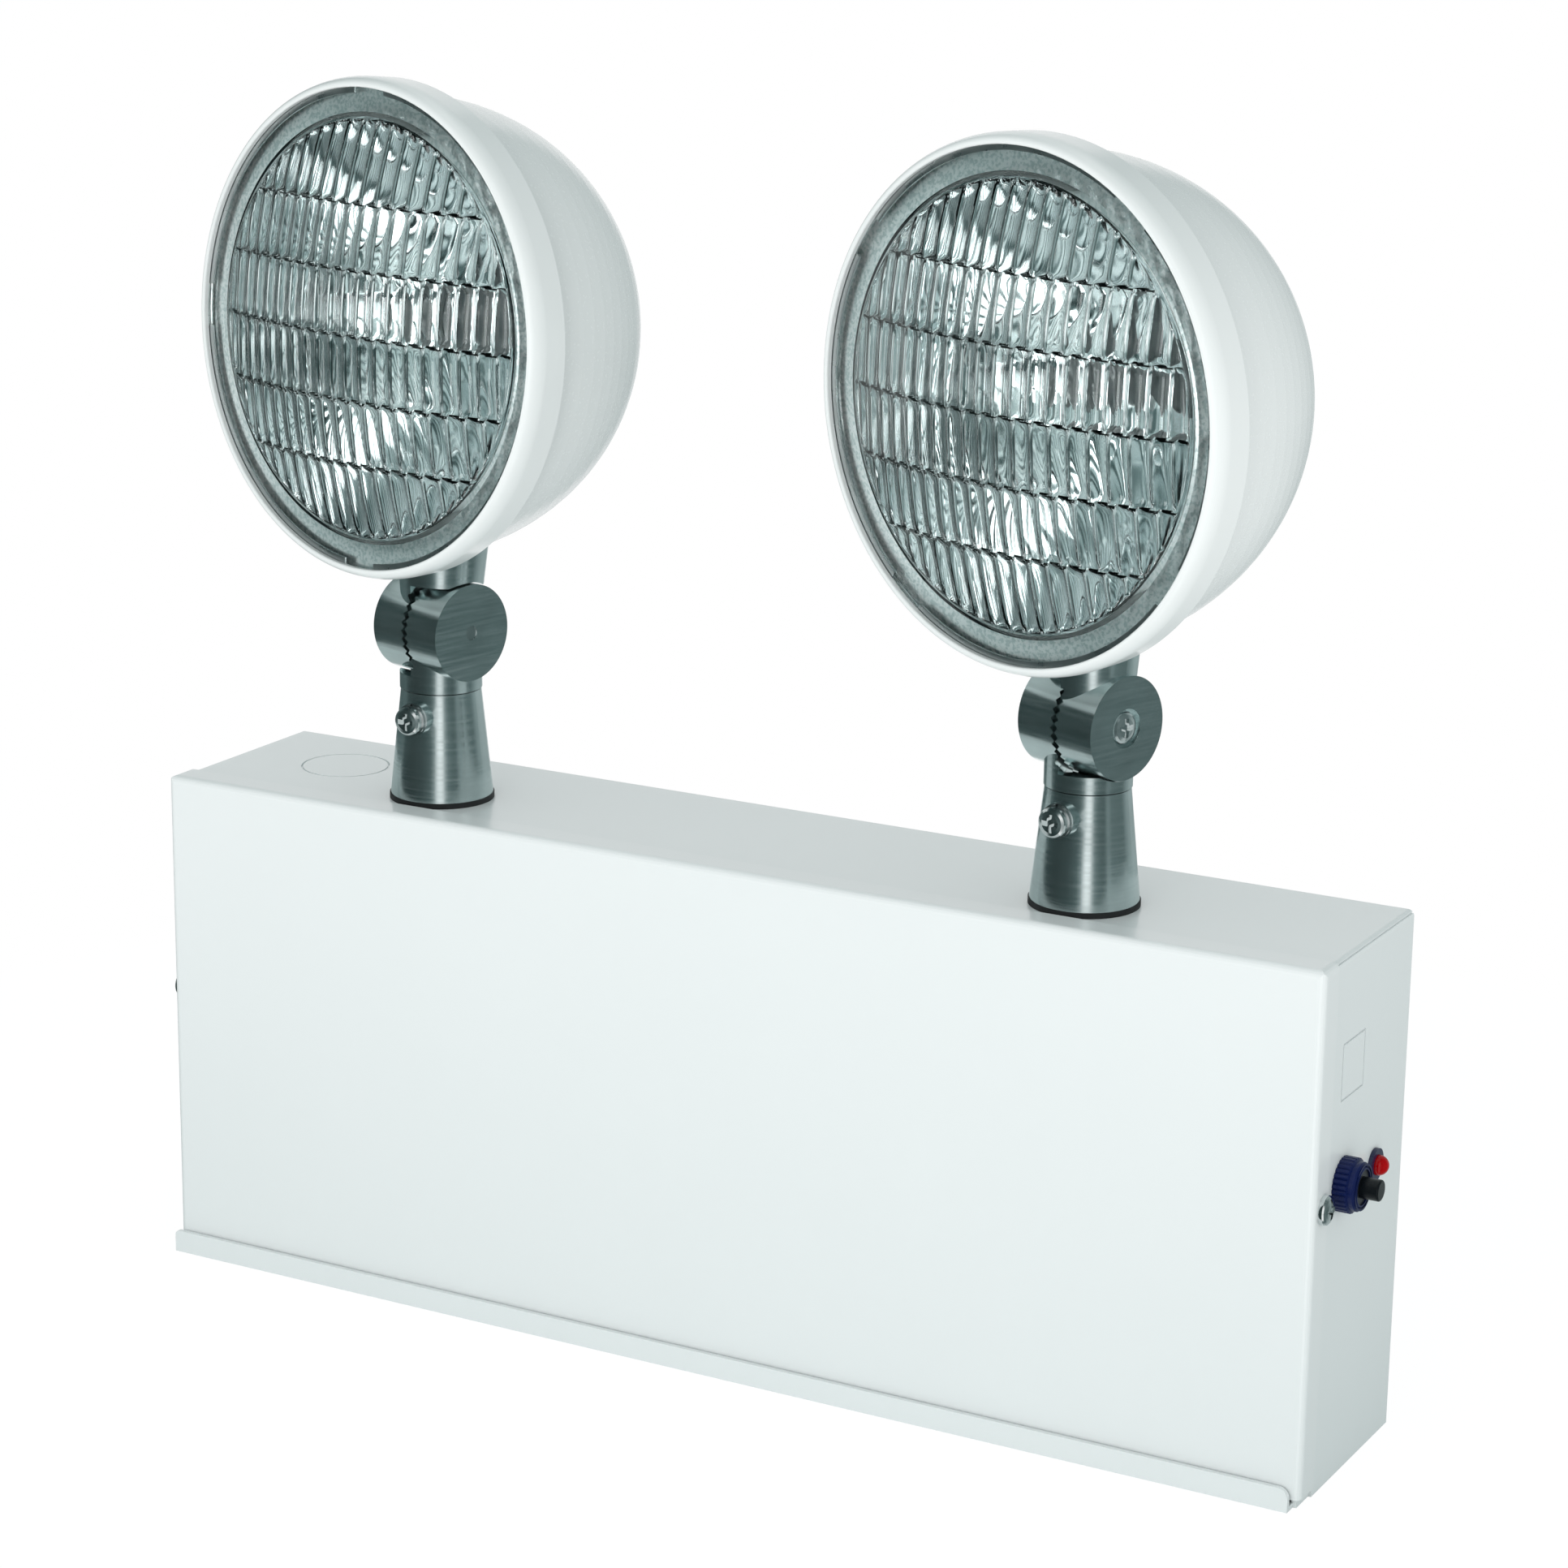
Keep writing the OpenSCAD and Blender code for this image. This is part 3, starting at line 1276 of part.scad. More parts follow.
// One band of flutes: a slab behind the lens with one face scalloped, bent like the lens across
module flute_band(z0, z1) {
  middle = (z0 + z1) / 2;
  reach = sqrt(field_r * field_r - pow(min(abs(z0), abs(z1)), 2));
  steps = ceil(reach / flute_pitch * flute_steps);
  front = lens_inner_radius + flute_embed;
  translate([0, 0, lens_centre]) rotate([asin(middle / lens_inner_radius), 0, 0])
    translate([0, (z1 - z0 - band_gap) / 2, 0]) rotate([90, 0, 0])
      linear_extrude(height = z1 - z0 - band_gap) polygon(concat(
        [for (i = [-steps:2:steps]) let (x = i * flute_pitch / flute_steps)
          [x, -sqrt(front * front - x * x)]],
        [for (i = [steps:-1:-steps]) let (x = i * flute_pitch / flute_steps,
          back = lens_inner_radius - flute_root - flute_depth * abs(cos(180 * x / flute_pitch)))
          [x, -sqrt(back * back - x * x)]]));
}

module lamp_lens(side) {
  edges = [for (i = [-half_bands:half_bands])
    i == -half_bands ? -field_r : i == half_bands ? field_r : i * band_pitch + band_offset];
  color([0.8, 0.86, 0.86, 0.6]) at_head(side) at_face() {
    rotate_extrude() polygon(concat(
      reverse(dome_points(lens_radius, field_r + lens_shoulder)),
      [[ring_inner_r, ring_front - 2 * lens_shoulder / 3], [retainer_inner_r - move_gap, ring_front],
       [lamp_r - lamp_edge, ring_front], [lamp_r, ring_front + lamp_edge], [lamp_r, lamp_seam],
       [lens_inner_r + lens_shoulder, lamp_seam]],
      dome_points(lens_inner_radius, lens_inner_r)));
    intersection() {
      union() {
        for (i = [0:2 * half_bands - 1]) {
          flute_band(-edges[i + 1], -edges[i]);
        }
      }
      translate([0, 0, -lens_bulge]) cylinder(h = 3 * lens_bulge, r = field_r);
    }
  }
}

module lamp_reflector(side) {
  hole_r = bulb_base_d / 2 + run_clear;
  boss_r = lamp_boss_d / 2;
  color([0.8, 0.82, 0.82]) at_head(side) at_face() rotate_extrude() polygon(concat(
    [[lamp_r, lamp_seam + seat_clear], [lamp_r, lamp_back], [reflector_rim_r, lamp_back]],
    parabola(vertex + reflector_t, outer_focal, reflector_rim_r, boss_r),
    [[boss_r, lamp_boss_end], [hole_r, lamp_boss_end]],
    parabola(vertex, focal_length, hole_r, lens_inner_r - seat_clear),
    [[lens_inner_r, lamp_seam + seat_clear]]));
}

module lamp_bulb(side) {
  base_front = lamp_boss_end - bulb_base_l;
  color([0.9, 0.9, 0.85]) at_head(side) at_face() rotate_extrude() polygon(concat(
    [[0, lamp_boss_end], [bulb_base_d / 2, lamp_boss_end], [bulb_base_d / 2, base_front],
     [bulb_d / 2, base_front]],
    arc(0, base_front - bulb_l + bulb_d / 2, bulb_d / 2, 0, -90, bend_steps)));
}

module lamp_terminals(side) {
  color([0.85, 0.75, 0.4]) at_head(side) at_face() for (x = [-terminal_x, terminal_x]) {
    translate([x, 0, lamp_boss_end]) {
      cylinder(h = terminal_l, d = terminal_d);
      translate([0, 0, terminal_l]) cylinder(h = terminal_screw_t, d = terminal_screw_d);
    }
  }
}

// The lamp's leads run from its terminals, between the reflector and the shell, into the hollow stud
module lamp_leads(side) {
  back = lamp_boss_end + terminal_l / 2;
  turn_r = (lamp_boss_d / 2 + inner_radius_at(lamp_boss_end)) / 2;
  down = face_reach + lead_back_share * (lamp_boss_end - face_reach);
  down_r = (reflector_radius_at(down) + inner_radius_at(down)) / 2;
  over_stud = (stud_top + head_rise - reflector_radius_at(face_reach)) / 2;
  color([0.2, 0.2, 0.22]) at_head(side) for (x = [LEFT, RIGHT]) {
    wire([[x * terminal_x, back - face_reach, head_rise - terminal_d / 2],
      [x * terminal_x, lamp_boss_end - face_reach, head_rise - turn_r],
      [x * terminal_x * lead_spread_share, down - face_reach, head_rise - down_r],
      [x * wire_bore_d / 4, 0, over_stud],
      [x * wire_bore_d / 4, 0, neck_flare_z + 2 * lead_d]], lead_d);
  }
}

back_box();
front_cover();
cover_screws();
battery_case();
battery_terminals();
battery_strap();
transformer_core();
transformer_coil();
transformer_strap();
chassis_screws();
circuit_board();
board_standoffs();
relay();
capacitors();
terminal_block();
switch_body();
switch_nut();
test_button();
pilot_lens();
pilot_clip();
battery_leads();
lamp_harness();
charger_leads();
base_gasket(LEFT);  // left_base_gasket
base_cone(LEFT);  // left_base_cone
base_locknut(LEFT);  // left_base_locknut
clamp_screw(LEFT);  // left_clamp_screw
clamp_washer(LEFT);  // left_clamp_washer
lower_knuckle(LEFT);  // left_lower_knuckle
tilt_screw(LEFT);  // left_tilt_screw
upper_knuckle(LEFT);  // left_upper_knuckle
shell_washer(LEFT);  // left_shell_washer
shell_nut(LEFT);  // left_shell_nut
shell(LEFT);  // left_shell
bezel(LEFT);  // left_bezel
lamp_retainer(LEFT);  // left_lamp_retainer
lamp_lens(LEFT);  // left_lamp_lens
lamp_reflector(LEFT);  // left_lamp_reflector
lamp_bulb(LEFT);  // left_lamp_bulb
lamp_terminals(LEFT);  // left_lamp_terminals
lamp_leads(LEFT);  // left_lamp_leads
base_gasket(RIGHT);  // right_base_gasket
base_cone(RIGHT);  // right_base_cone
base_locknut(RIGHT);  // right_base_locknut
clamp_screw(RIGHT);  // right_clamp_screw
clamp_washer(RIGHT);  // right_clamp_washer
lower_knuckle(RIGHT);  // right_lower_knuckle
tilt_screw(RIGHT);  // right_tilt_screw
upper_knuckle(RIGHT);  // right_upper_knuckle
shell_washer(RIGHT);  // right_shell_washer
shell_nut(RIGHT);  // right_shell_nut
shell(RIGHT);  // right_shell
bezel(RIGHT);  // right_bezel
lamp_retainer(RIGHT);  // right_lamp_retainer
lamp_lens(RIGHT);  // right_lamp_lens
lamp_reflector(RIGHT);  // right_lamp_reflector
lamp_bulb(RIGHT);  // right_lamp_bulb
lamp_terminals(RIGHT);  // right_lamp_terminals
lamp_leads(RIGHT);  // right_lamp_leads
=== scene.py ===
"""Looks of the twin head emergency light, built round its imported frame. Lengths are in metres."""

import json
from math import asin, cos, pi, radians, sin, sqrt

import bmesh
import bpy
from mathutils import Matrix, Vector


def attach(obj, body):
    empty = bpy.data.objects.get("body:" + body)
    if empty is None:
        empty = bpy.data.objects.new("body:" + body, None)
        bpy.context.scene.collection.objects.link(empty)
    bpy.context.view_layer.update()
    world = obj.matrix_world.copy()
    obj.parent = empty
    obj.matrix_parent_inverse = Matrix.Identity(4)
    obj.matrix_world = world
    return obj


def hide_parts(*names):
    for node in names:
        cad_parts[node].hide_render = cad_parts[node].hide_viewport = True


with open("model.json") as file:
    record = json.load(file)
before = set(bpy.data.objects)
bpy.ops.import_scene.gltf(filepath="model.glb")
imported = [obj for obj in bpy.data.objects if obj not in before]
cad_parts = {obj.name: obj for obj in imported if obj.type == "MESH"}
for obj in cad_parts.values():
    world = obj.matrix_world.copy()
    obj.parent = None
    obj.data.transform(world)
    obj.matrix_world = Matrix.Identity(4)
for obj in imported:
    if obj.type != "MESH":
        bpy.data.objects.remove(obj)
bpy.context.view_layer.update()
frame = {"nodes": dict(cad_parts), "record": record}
nodes = frame["nodes"]

MM = 0.001
SIDES = ("left", "right")

# Where the heads stand, as in the source of the solids
SWIVEL_X = {"left": -86.3 * MM, "right": 86.3 * MM}
SWIVEL_Y = -5.85 * MM
PIVOT_Z = 167.2 * MM
PAN = {"left": radians(13.8), "right": radians(17.8)}
TILT = {"left": radians(2.7), "right": radians(-0.5)}
HEAD_RISE = 73.2 * MM
FACE_REACH = 28.4 * MM

# Sizes of the lamp, as in the source of the solids. Radii are from the lamp's axis. FIELD_SET, RING_FRONT,
# LAMP_SEAM, LAMP_BACK, VERTEX and BOSS_END are distances behind the bezel's face.
FIELD_R = 48.3 * MM
LENS_BULGE = 8 * MM
FIELD_SET = 0.7 * MM
LENS_T = 2.4 * MM
LENS_RADIUS = (FIELD_R ** 2 + LENS_BULGE ** 2) / (2 * LENS_BULGE)
LENS_CENTRE = FIELD_SET - LENS_BULGE + LENS_RADIUS
LENS_SHOULDER = 1 * MM
RING_FRONT = 2.2 * MM
RING_INNER_R = FIELD_R + 2 * LENS_SHOULDER
RING_DROP = 2 * LENS_SHOULDER / 3
RING_FLAT_R = 54.4 * MM
LAMP_R = 56.9 * MM
LAMP_EDGE = 1.1 * MM
# Share of the edge that its rounding has cut off halfway round
EDGE_MID = 0.3
LAMP_SEAM = 5.1 * MM
LENS_INNER_R = FIELD_R + LENS_SHOULDER / 2
BAND_PITCH = 15 * MM
BAND_OFFSET = -0.6 * MM
HALF_BANDS = 3
FLUTE_PITCH = 4.8 * MM
FLUTE_DEPTH = 1.1 * MM
FLUTE_END = 2.2 * MM
FLUTE_ROOT = 0.2 * MM
FLUTE_RIM = 1.4 * MM
# Share of the pitch by which each band's flutes are moved from those below
FLUTE_SHIFT = 0.25
LAMP_BACK = 9.1 * MM
REFLECTOR_RIM_R = 52 * MM
REFLECTOR_T = 2.2 * MM
VERTEX = 48.8 * MM
FOCAL_LENGTH = LENS_INNER_R ** 2 / (4 * (VERTEX - LAMP_SEAM))
OUTER_FOCAL = REFLECTOR_RIM_R ** 2 / (4 * (VERTEX + REFLECTOR_T - LAMP_BACK))
BOSS_R = 13 * MM
BOSS_END = 52.6 * MM
BULB_HOLE_R = 6.05 * MM
SEAT = 0.1 * MM

# How finely the lens and the reflector are built
LENS_STEP = 0.3 * MM
LENS_EVEN_SHARE = 0.92
LENS_END_STEPS = 20
LENS_FRONT_RINGS = 12
BAND_SHARES = (0, 0.03, 0.08, 0.15, 0.3, 0.5, 0.7, 0.85, 0.92, 0.97)
BOWL_BACK_STEPS = 24
BOWL_STEPS = 48
LATHE_COUNT = 160
WELD = 0.002 * MM
SMOOTH_ANGLE = radians(30)


def head_matrix(side):
    """The place of a head: x to its right, -y the way that the lamp looks, z up, from its pivot."""
    return (Matrix.Translation((SWIVEL_X[side], SWIVEL_Y, PIVOT_Z))
            @ Matrix.Rotation(-PAN[side], 4, "Z") @ Matrix.Rotation(-TILT[side], 4, "X"))


# Camera

CAMERA_AT = (449.8 * MM, -811.8 * MM, 393.0 * MM)
CAMERA_AZIMUTH = radians(28.68)
CAMERA_ELEVATION = radians(15.33)
CAMERA_ROLL = radians(0.75)
CAMERA_LENS = 93.955
CAMERA_SENSOR = 36
CAMERA_CLIP = 10 * MM


def make_camera():
    data = bpy.data.cameras.new("camera")
    data.lens = CAMERA_LENS
    data.sensor_width = CAMERA_SENSOR
    data.clip_start = CAMERA_CLIP
    camera = bpy.data.objects.new("camera", data)
    back = Vector((sin(CAMERA_AZIMUTH) * cos(CAMERA_ELEVATION),
                   -cos(CAMERA_AZIMUTH) * cos(CAMERA_ELEVATION), sin(CAMERA_ELEVATION)))
    right = Vector((0, 0, 1)).cross(back).normalized()
    up = back.cross(right)
    rolled_right = right * cos(CAMERA_ROLL) + up * sin(CAMERA_ROLL)
    rolled_up = up * cos(CAMERA_ROLL) - right * sin(CAMERA_ROLL)
    turn = Matrix((rolled_right, rolled_up, back)).transposed().to_4x4()
    camera.matrix_world = Matrix.Translation(CAMERA_AT) @ turn
    bpy.context.scene.collection.objects.link(camera)
    bpy.context.scene.camera = camera


# Materials

# The part of a noise's range that most of it lies in
NOISE_LOW, NOISE_HIGH = 0.3, 0.7


def add_node(tree, kind, **settings):
    made = tree.nodes.new(kind)
    for key, value in settings.items():
        setattr(made, key, value)
    return made


class Look:
    """A material whose nodes are added one by one."""

    def __init__(self, name, color, roughness, **sockets):
        self.mat = bpy.data.materials.new(name)
        self.mat.use_nodes = True
        self.tree = self.mat.node_tree
        self.bsdf = self.tree.nodes["Principled BSDF"]
        self.bsdf.inputs["Base Color"].default_value = (*color, 1)
        self.bsdf.inputs["Roughness"].default_value = roughness
        for socket, value in sockets.items():
            self.bsdf.inputs[socket.replace("_", " ")].default_value = value
        self.place = self.node("ShaderNodeTexCoord").outputs["Object"]
        self.height = None

    def node(self, kind, **settings):
        return add_node(self.tree, kind, **settings)

    def link(self, source, target):
        self.tree.links.new(source, target)

    def stretch(self, scale):
        """The object's coordinates, scaled along each axis."""
        mapping = self.node("ShaderNodeMapping")
        mapping.inputs["Scale"].default_value = scale
        self.link(self.place, mapping.inputs["Vector"])
        return mapping.outputs["Vector"]

    def noise(self, scale, detail, place=None):
        made = self.node("ShaderNodeTexNoise")
        made.inputs["Scale"].default_value = scale
        made.inputs["Detail"].default_value = detail
        self.link(place or self.place, made.inputs["Vector"])
        return made.outputs["Fac"]

    def tint(self, value, low, high, start=NOISE_LOW, end=NOISE_HIGH):
        """The base colour runs from low to high as the value goes from start to end."""
        ramp = self.node("ShaderNodeValToRGB")
        ramp.color_ramp.elements[0].position = start
        ramp.color_ramp.elements[0].color = (*low, 1)
        ramp.color_ramp.elements[1].position = end
        ramp.color_ramp.elements[1].color = (*high, 1)
        self.link(value, ramp.inputs["Fac"])
        self.link(ramp.outputs["Color"], self.bsdf.inputs["Base Color"])

    def gloss(self, value, low, high):
        """The roughness runs from low to high with the noise."""
        made = self.node("ShaderNodeMapRange")
        for key, number in (("From Min", NOISE_LOW), ("From Max", NOISE_HIGH),
                            ("To Min", low), ("To Max", high)):
            made.inputs[key].default_value = number
        self.link(value, made.inputs["Value"])
        self.link(made.outputs["Result"], self.bsdf.inputs["Roughness"])

    def bump(self, value, depth, strength):
        """Adds relief of the given depth to what is there."""
        made = self.node("ShaderNodeBump")
        made.inputs["Distance"].default_value = depth
        made.inputs["Strength"].default_value = strength
        self.link(value, made.inputs["Height"])
        if self.height:
            self.link(self.height, made.inputs["Normal"])
        self.height = made.outputs["Normal"]
        self.link(self.height, self.bsdf.inputs["Normal"])


def shade(color, factor):
    """A lighter or darker form of a colour."""
    return tuple(min(1, c * factor) for c in color)


def enamel(name, color, roughness=0.3):
    """Glossy paint over steel: faint cloudiness, orange peel and dust."""
    look = Look(name, color, roughness, Coat_Weight=0.35, Coat_Roughness=0.08)
    look.tint(look.noise(30, 2), shade(color, 0.992), shade(color, 1.008), 0, 1)
    look.gloss(look.noise(1200, 2), roughness - 0.02, roughness + 0.02)
    look.bump(look.noise(900, 2), 0.004 * MM, 0.12)
    return look.mat


def plated(name, color, roughness, grain=(60, 60, 1400), depth=0.01):
    """Polished plating with fine lines along one direction and small pits."""
    look = Look(name, color, roughness, Metallic=1)
    lines = look.noise(1, 3, look.stretch(grain))
    look.tint(look.noise(90, 4), shade(color, 0.9), shade(color, 1.06))
    look.gloss(lines, roughness * 0.7, roughness * 1.35)
    look.bump(lines, depth * MM, 0.4)
    look.bump(look.noise(260, 3), 2 * depth * MM, 0.25)
    return look.mat


def plastic(name, color, roughness, relief=0.03, **sockets):
    look = Look(name, color, roughness, **sockets)
    look.tint(look.noise(80, 3), shade(color, 0.85), shade(color, 1.15))
    look.gloss(look.noise(200, 2), roughness * 0.8, roughness * 1.2)
    look.bump(look.noise(1500, 2), relief * MM, 0.4)
    return look.mat


def pressed_glass():
    look = Look("lens_glass", (0.93, 0.965, 0.96), 0.015, Transmission_Weight=1, IOR=1.5)
    look.tint(look.noise(60, 2), (0.9, 0.94, 0.935), (0.96, 0.985, 0.98))
    look.bump(look.noise(60, 2), 0.03 * MM, 0.4)
    look.bump(look.noise(500, 2), 0.008 * MM, 0.3)
    return look.mat


def silvered():
    look = Look("reflector_silver", (0.86, 0.88, 0.885), 0.04, Metallic=1)
    look.gloss(look.noise(90, 3), 0.02, 0.08)
    look.bump(look.noise(35, 2), 0.04 * MM, 0.4)
    look.bump(look.noise(700, 2), 0.006 * MM, 0.3)
    return look.mat


def speckled():
    """Matte aluminium with bright and dark grains, as behind the clear rim of the lamp."""
    look = Look("rim_silver", (0.9, 0.93, 0.93), 0.42, Metallic=1)
    look.tint(look.noise(1100, 2), (0.7, 0.76, 0.76), (1.0, 1.0, 1.0), 0.4, 0.55)
    look.bump(look.noise(1300, 2), 0.03 * MM, 0.5)
    return look.mat


def make_materials():
    """A material for each slot of the record, and rim_silver for the reflector's flange."""
    return {
        "white_sheet": enamel("white_sheet", (0.80, 0.83, 0.83)),
        "white_cover": enamel("white_cover", (0.815, 0.84, 0.84)),
        "white_shell": enamel("white_shell", (0.80, 0.825, 0.82), 0.26),
        "white_bezel": enamel("white_bezel", (0.815, 0.84, 0.835), 0.24),
        "chrome": plated("chrome", (0.72, 0.81, 0.81), 0.2, depth=0.004),
        "rim_silver": speckled(),
        "bright_screws": plated("bright_screws", (0.78, 0.82, 0.82), 0.14, (300, 300, 300)),
        "plated_steel": plated("plated_steel", (0.6, 0.62, 0.62), 0.25, (200, 200, 200)),
        "retainer_steel": plated("retainer_steel", (0.72, 0.76, 0.76), 0.3, (200, 200, 200)),
        "core_steel": plated("core_steel", (0.25, 0.26, 0.28), 0.4, (60, 1500, 60)),
        "brass": plated("brass", (0.75, 0.62, 0.3), 0.25, (300, 300, 300)),
        "black_rubber": plastic("black_rubber", (0.012, 0.013, 0.014), 0.6, 0.05),
        "lens_glass": pressed_glass(),
        "reflector_silver": silvered(),
        "bulb_glass": plastic("bulb_glass", (0.2, 0.21, 0.21), 0.08),
        "battery_plastic": plastic("battery_plastic", (0.03, 0.03, 0.033), 0.5, 0.08),
        "coil_tape": plastic("coil_tape", (0.55, 0.4, 0.12), 0.4),
        "board_green": plastic("board_green", (0.03, 0.16, 0.06), 0.35),
        "relay_plastic": plastic("relay_plastic", (0.03, 0.1, 0.4), 0.3),
        "capacitor_sleeve": plastic("capacitor_sleeve", (0.03, 0.03, 0.12), 0.25),
        "block_plastic": plastic("block_plastic", (0.05, 0.22, 0.08), 0.45),
        "switch_plastic": plastic("switch_plastic", (0.02, 0.022, 0.028), 0.35),
        "navy_nut": plastic("navy_nut", (0.005, 0.012, 0.075), 0.3, Specular_IOR_Level=0.25),
        "button_plastic": plastic("button_plastic", (0.004, 0.006, 0.008), 0.3, Specular_IOR_Level=0.3),
        "pilot_red": plastic("pilot_red", (0.42, 0.0, 0.002), 0.1, 0.01, Specular_IOR_Level=0.35),
        "clip_plastic": plastic("clip_plastic", (0.01, 0.014, 0.06), 0.3),
        "red_wire": plastic("red_wire", (0.45, 0.02, 0.02), 0.4),
        "grey_wire": plastic("grey_wire", (0.08, 0.08, 0.09), 0.45),
        "pale_wire": plastic("pale_wire", (0.7, 0.7, 0.62), 0.45),
    }


def dress_nodes(materials):
    """Gives each CAD node the material of its slot."""
    for part in frame["record"]["subparts"]:
        mesh = nodes[part["node"]].data
        mesh.materials.clear()
        mesh.materials.append(materials[part["material_slot"]])


# Pieces

def new_piece(name, points, faces, material, body):
    """A piece of clean, smoothly shaded faces that rides on a body."""
    mesh = bpy.data.meshes.new(name)
    mesh.from_pydata(points, [], faces)
    work = bmesh.new()
    work.from_mesh(mesh)
    bmesh.ops.remove_doubles(work, verts=work.verts, dist=WELD)
    bmesh.ops.dissolve_degenerate(work, edges=work.edges, dist=WELD)
    bmesh.ops.recalc_face_normals(work, faces=work.faces)
    work.to_mesh(mesh)
    work.free()
    mesh.shade_smooth()
    mesh.set_sharp_from_angle(angle=SMOOTH_ANGLE)
    mesh.materials.append(material)
    piece = bpy.data.objects.new(name, mesh)
    bpy.context.scene.collection.objects.link(piece)
    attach(piece, body)
    return piece


def lens_front(r):
    """Distance of the lens's outer face behind the bezel's face."""
    return LENS_CENTRE - sqrt(LENS_RADIUS ** 2 - r * r)


def lens_back(r):
    """The same for the face that the flutes stand on."""
    return LENS_CENTRE - sqrt((LENS_RADIUS - LENS_T) ** 2 - r * r)


def flute(x, z, band):
    """How far the flutes stand out of the lens's inner face at a point of its field."""
    low, high = band_edges(band)
    phase = (x / FLUTE_PITCH + FLUTE_SHIFT * band) % 1
    hump = 1 - (2 * phase - 1) ** 2
    from_end = (high - low) / 2 - abs(z - (low + high) / 2)
    end = 1 - min(1, max(0, from_end / FLUTE_END))
    rim = 1 - min(1, max(0, (FIELD_R - sqrt(x * x + z * z)) / FLUTE_RIM))
    return FLUTE_ROOT + FLUTE_DEPTH * hump * sqrt(max(0, 1 - end * end)) * sqrt(max(0, 1 - rim * rim))


def band_edges(band):
    """The lower and upper edge of a band of flutes."""
    edge = [i * BAND_PITCH + BAND_OFFSET for i in range(-HALF_BANDS, HALF_BANDS + 1)]
    edge[0], edge[-1] = -FIELD_R, FIELD_R
    return edge[band], edge[band + 1]


def lens_columns():
    """Where the columns of the lens's inner face stand, closer together near the rim."""
    count = int(FIELD_R * LENS_EVEN_SHARE / LENS_STEP)
    start = asin(count * LENS_STEP / FIELD_R)
    ends = [FIELD_R * sin(start + (pi / 2 - start) * k / LENS_END_STEPS)
            for k in range(1, LENS_END_STEPS + 1)]
    return [-x for x in reversed(ends)] + [i * LENS_STEP for i in range(-count, count + 1)] + ends


def lens_profile():
    """The lens from its field's inner edge, round its rim and over its front to near the axis.

    Each entry is the radius as a share of the field's, and the distance behind the bezel's face."""
    inner_edge = lens_back(LENS_INNER_R) + FLUTE_ROOT
    rounding = LAMP_EDGE * EDGE_MID
    rim = ((LENS_INNER_R, inner_edge), (LENS_INNER_R + LENS_SHOULDER, LAMP_SEAM), (LAMP_R, LAMP_SEAM),
           (LAMP_R, RING_FRONT + LAMP_EDGE), (LAMP_R - rounding, RING_FRONT + rounding),
           (LAMP_R - LAMP_EDGE, RING_FRONT), (RING_FLAT_R, RING_FRONT),
           (RING_INNER_R, RING_FRONT - RING_DROP),
           (FIELD_R + LENS_SHOULDER, lens_front(FIELD_R + LENS_SHOULDER)))
    front = [k / LENS_FRONT_RINGS for k in range(LENS_FRONT_RINGS, 0, -1)]
    return ([(1, lens_back(FIELD_R) + FLUTE_ROOT)] + [(r / FIELD_R, s) for r, s in rim]
            + [(share, lens_front(FIELD_R * share)) for share in front])


def lens_shape():
    """Points and faces of the lens as (x, distance behind the bezel's face, z)."""
    xs = lens_columns()
    rows = 2 * HALF_BANDS * len(BAND_SHARES) + 1
    points, faces = [], []
    for x in xs:
        top = sqrt(max(0, FIELD_R ** 2 - x * x))
        column = []
        for band in range(2 * HALF_BANDS):
            low, high = (min(top, max(-top, edge)) for edge in band_edges(band))
            column += [(low + (high - low) * share, band) for share in BAND_SHARES]
        column.append((top, 2 * HALF_BANDS - 1))
        for z, band in column:
            r = min(FIELD_R, sqrt(x * x + z * z))
            points.append((x, lens_back(r) + flute(x, z, band), z))
    for i in range(len(xs) - 1):
        for j in range(rows - 1):
            a = i * rows + j
            faces.append((a, a + 1, a + 1 + rows, a + rows))
    upper = [(x, sqrt(max(0, FIELD_R ** 2 - x * x))) for x in xs]
    rim = upper[::-1] + [(x, -z) for x, z in upper[1:-1]]
    profile = lens_profile()
    start = len(points)
    for scale, s in profile:
        points += [(x * scale, s, z * scale) for x, z in rim]
    count = len(rim)
    for k in range(len(profile) - 1):
        for i in range(count):
            a = start + k * count + i
            b = start + k * count + (i + 1) % count
            faces.append((a, b, b + count, a + count))
    centre = len(points)
    points.append((0, lens_front(0), 0))
    last = start + (len(profile) - 1) * count
    faces += [(last + i, last + (i + 1) % count, centre) for i in range(count)]
    return points, faces


def lamp_piece(side, name, shape, material):
    """A piece of a lamp's shape, turned and moved to its place in the head."""
    points, faces = shape
    turn = head_matrix(side)
    placed = [turn @ Vector((x, s - FACE_REACH, z + HEAD_RISE)) for x, s, z in points]
    return new_piece(side + name, placed, faces, material, side + "_head")


def make_lens(side, shape, materials):
    piece = lamp_piece(side, "_lens", shape, materials["lens_glass"])
    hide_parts(side + "_lamp_lens")


def turned(profile):
    """Points and faces of a closed profile of (radius, distance), turned round the lamp's axis."""
    turns = [2 * pi * i / LATHE_COUNT for i in range(LATHE_COUNT)]
    points = [(r * cos(a), s, r * sin(a)) for r, s in profile for a in turns]
    faces = []
    for k in range(len(profile)):
        low, high = k * LATHE_COUNT, (k + 1) % len(profile) * LATHE_COUNT
        for i in range(LATHE_COUNT):
            j = (i + 1) % LATHE_COUNT
            faces.append((low + i, low + j, high + j, high + i))
    return points, faces


def parabola(vertex, focal, start, end, count):
    """Points of a dish as (radius, distance), from one radius to another."""
    radii = [start + (end - start) * k / count for k in range(count + 1)]
    return [(r, vertex - r * r / (4 * focal)) for r in radii]


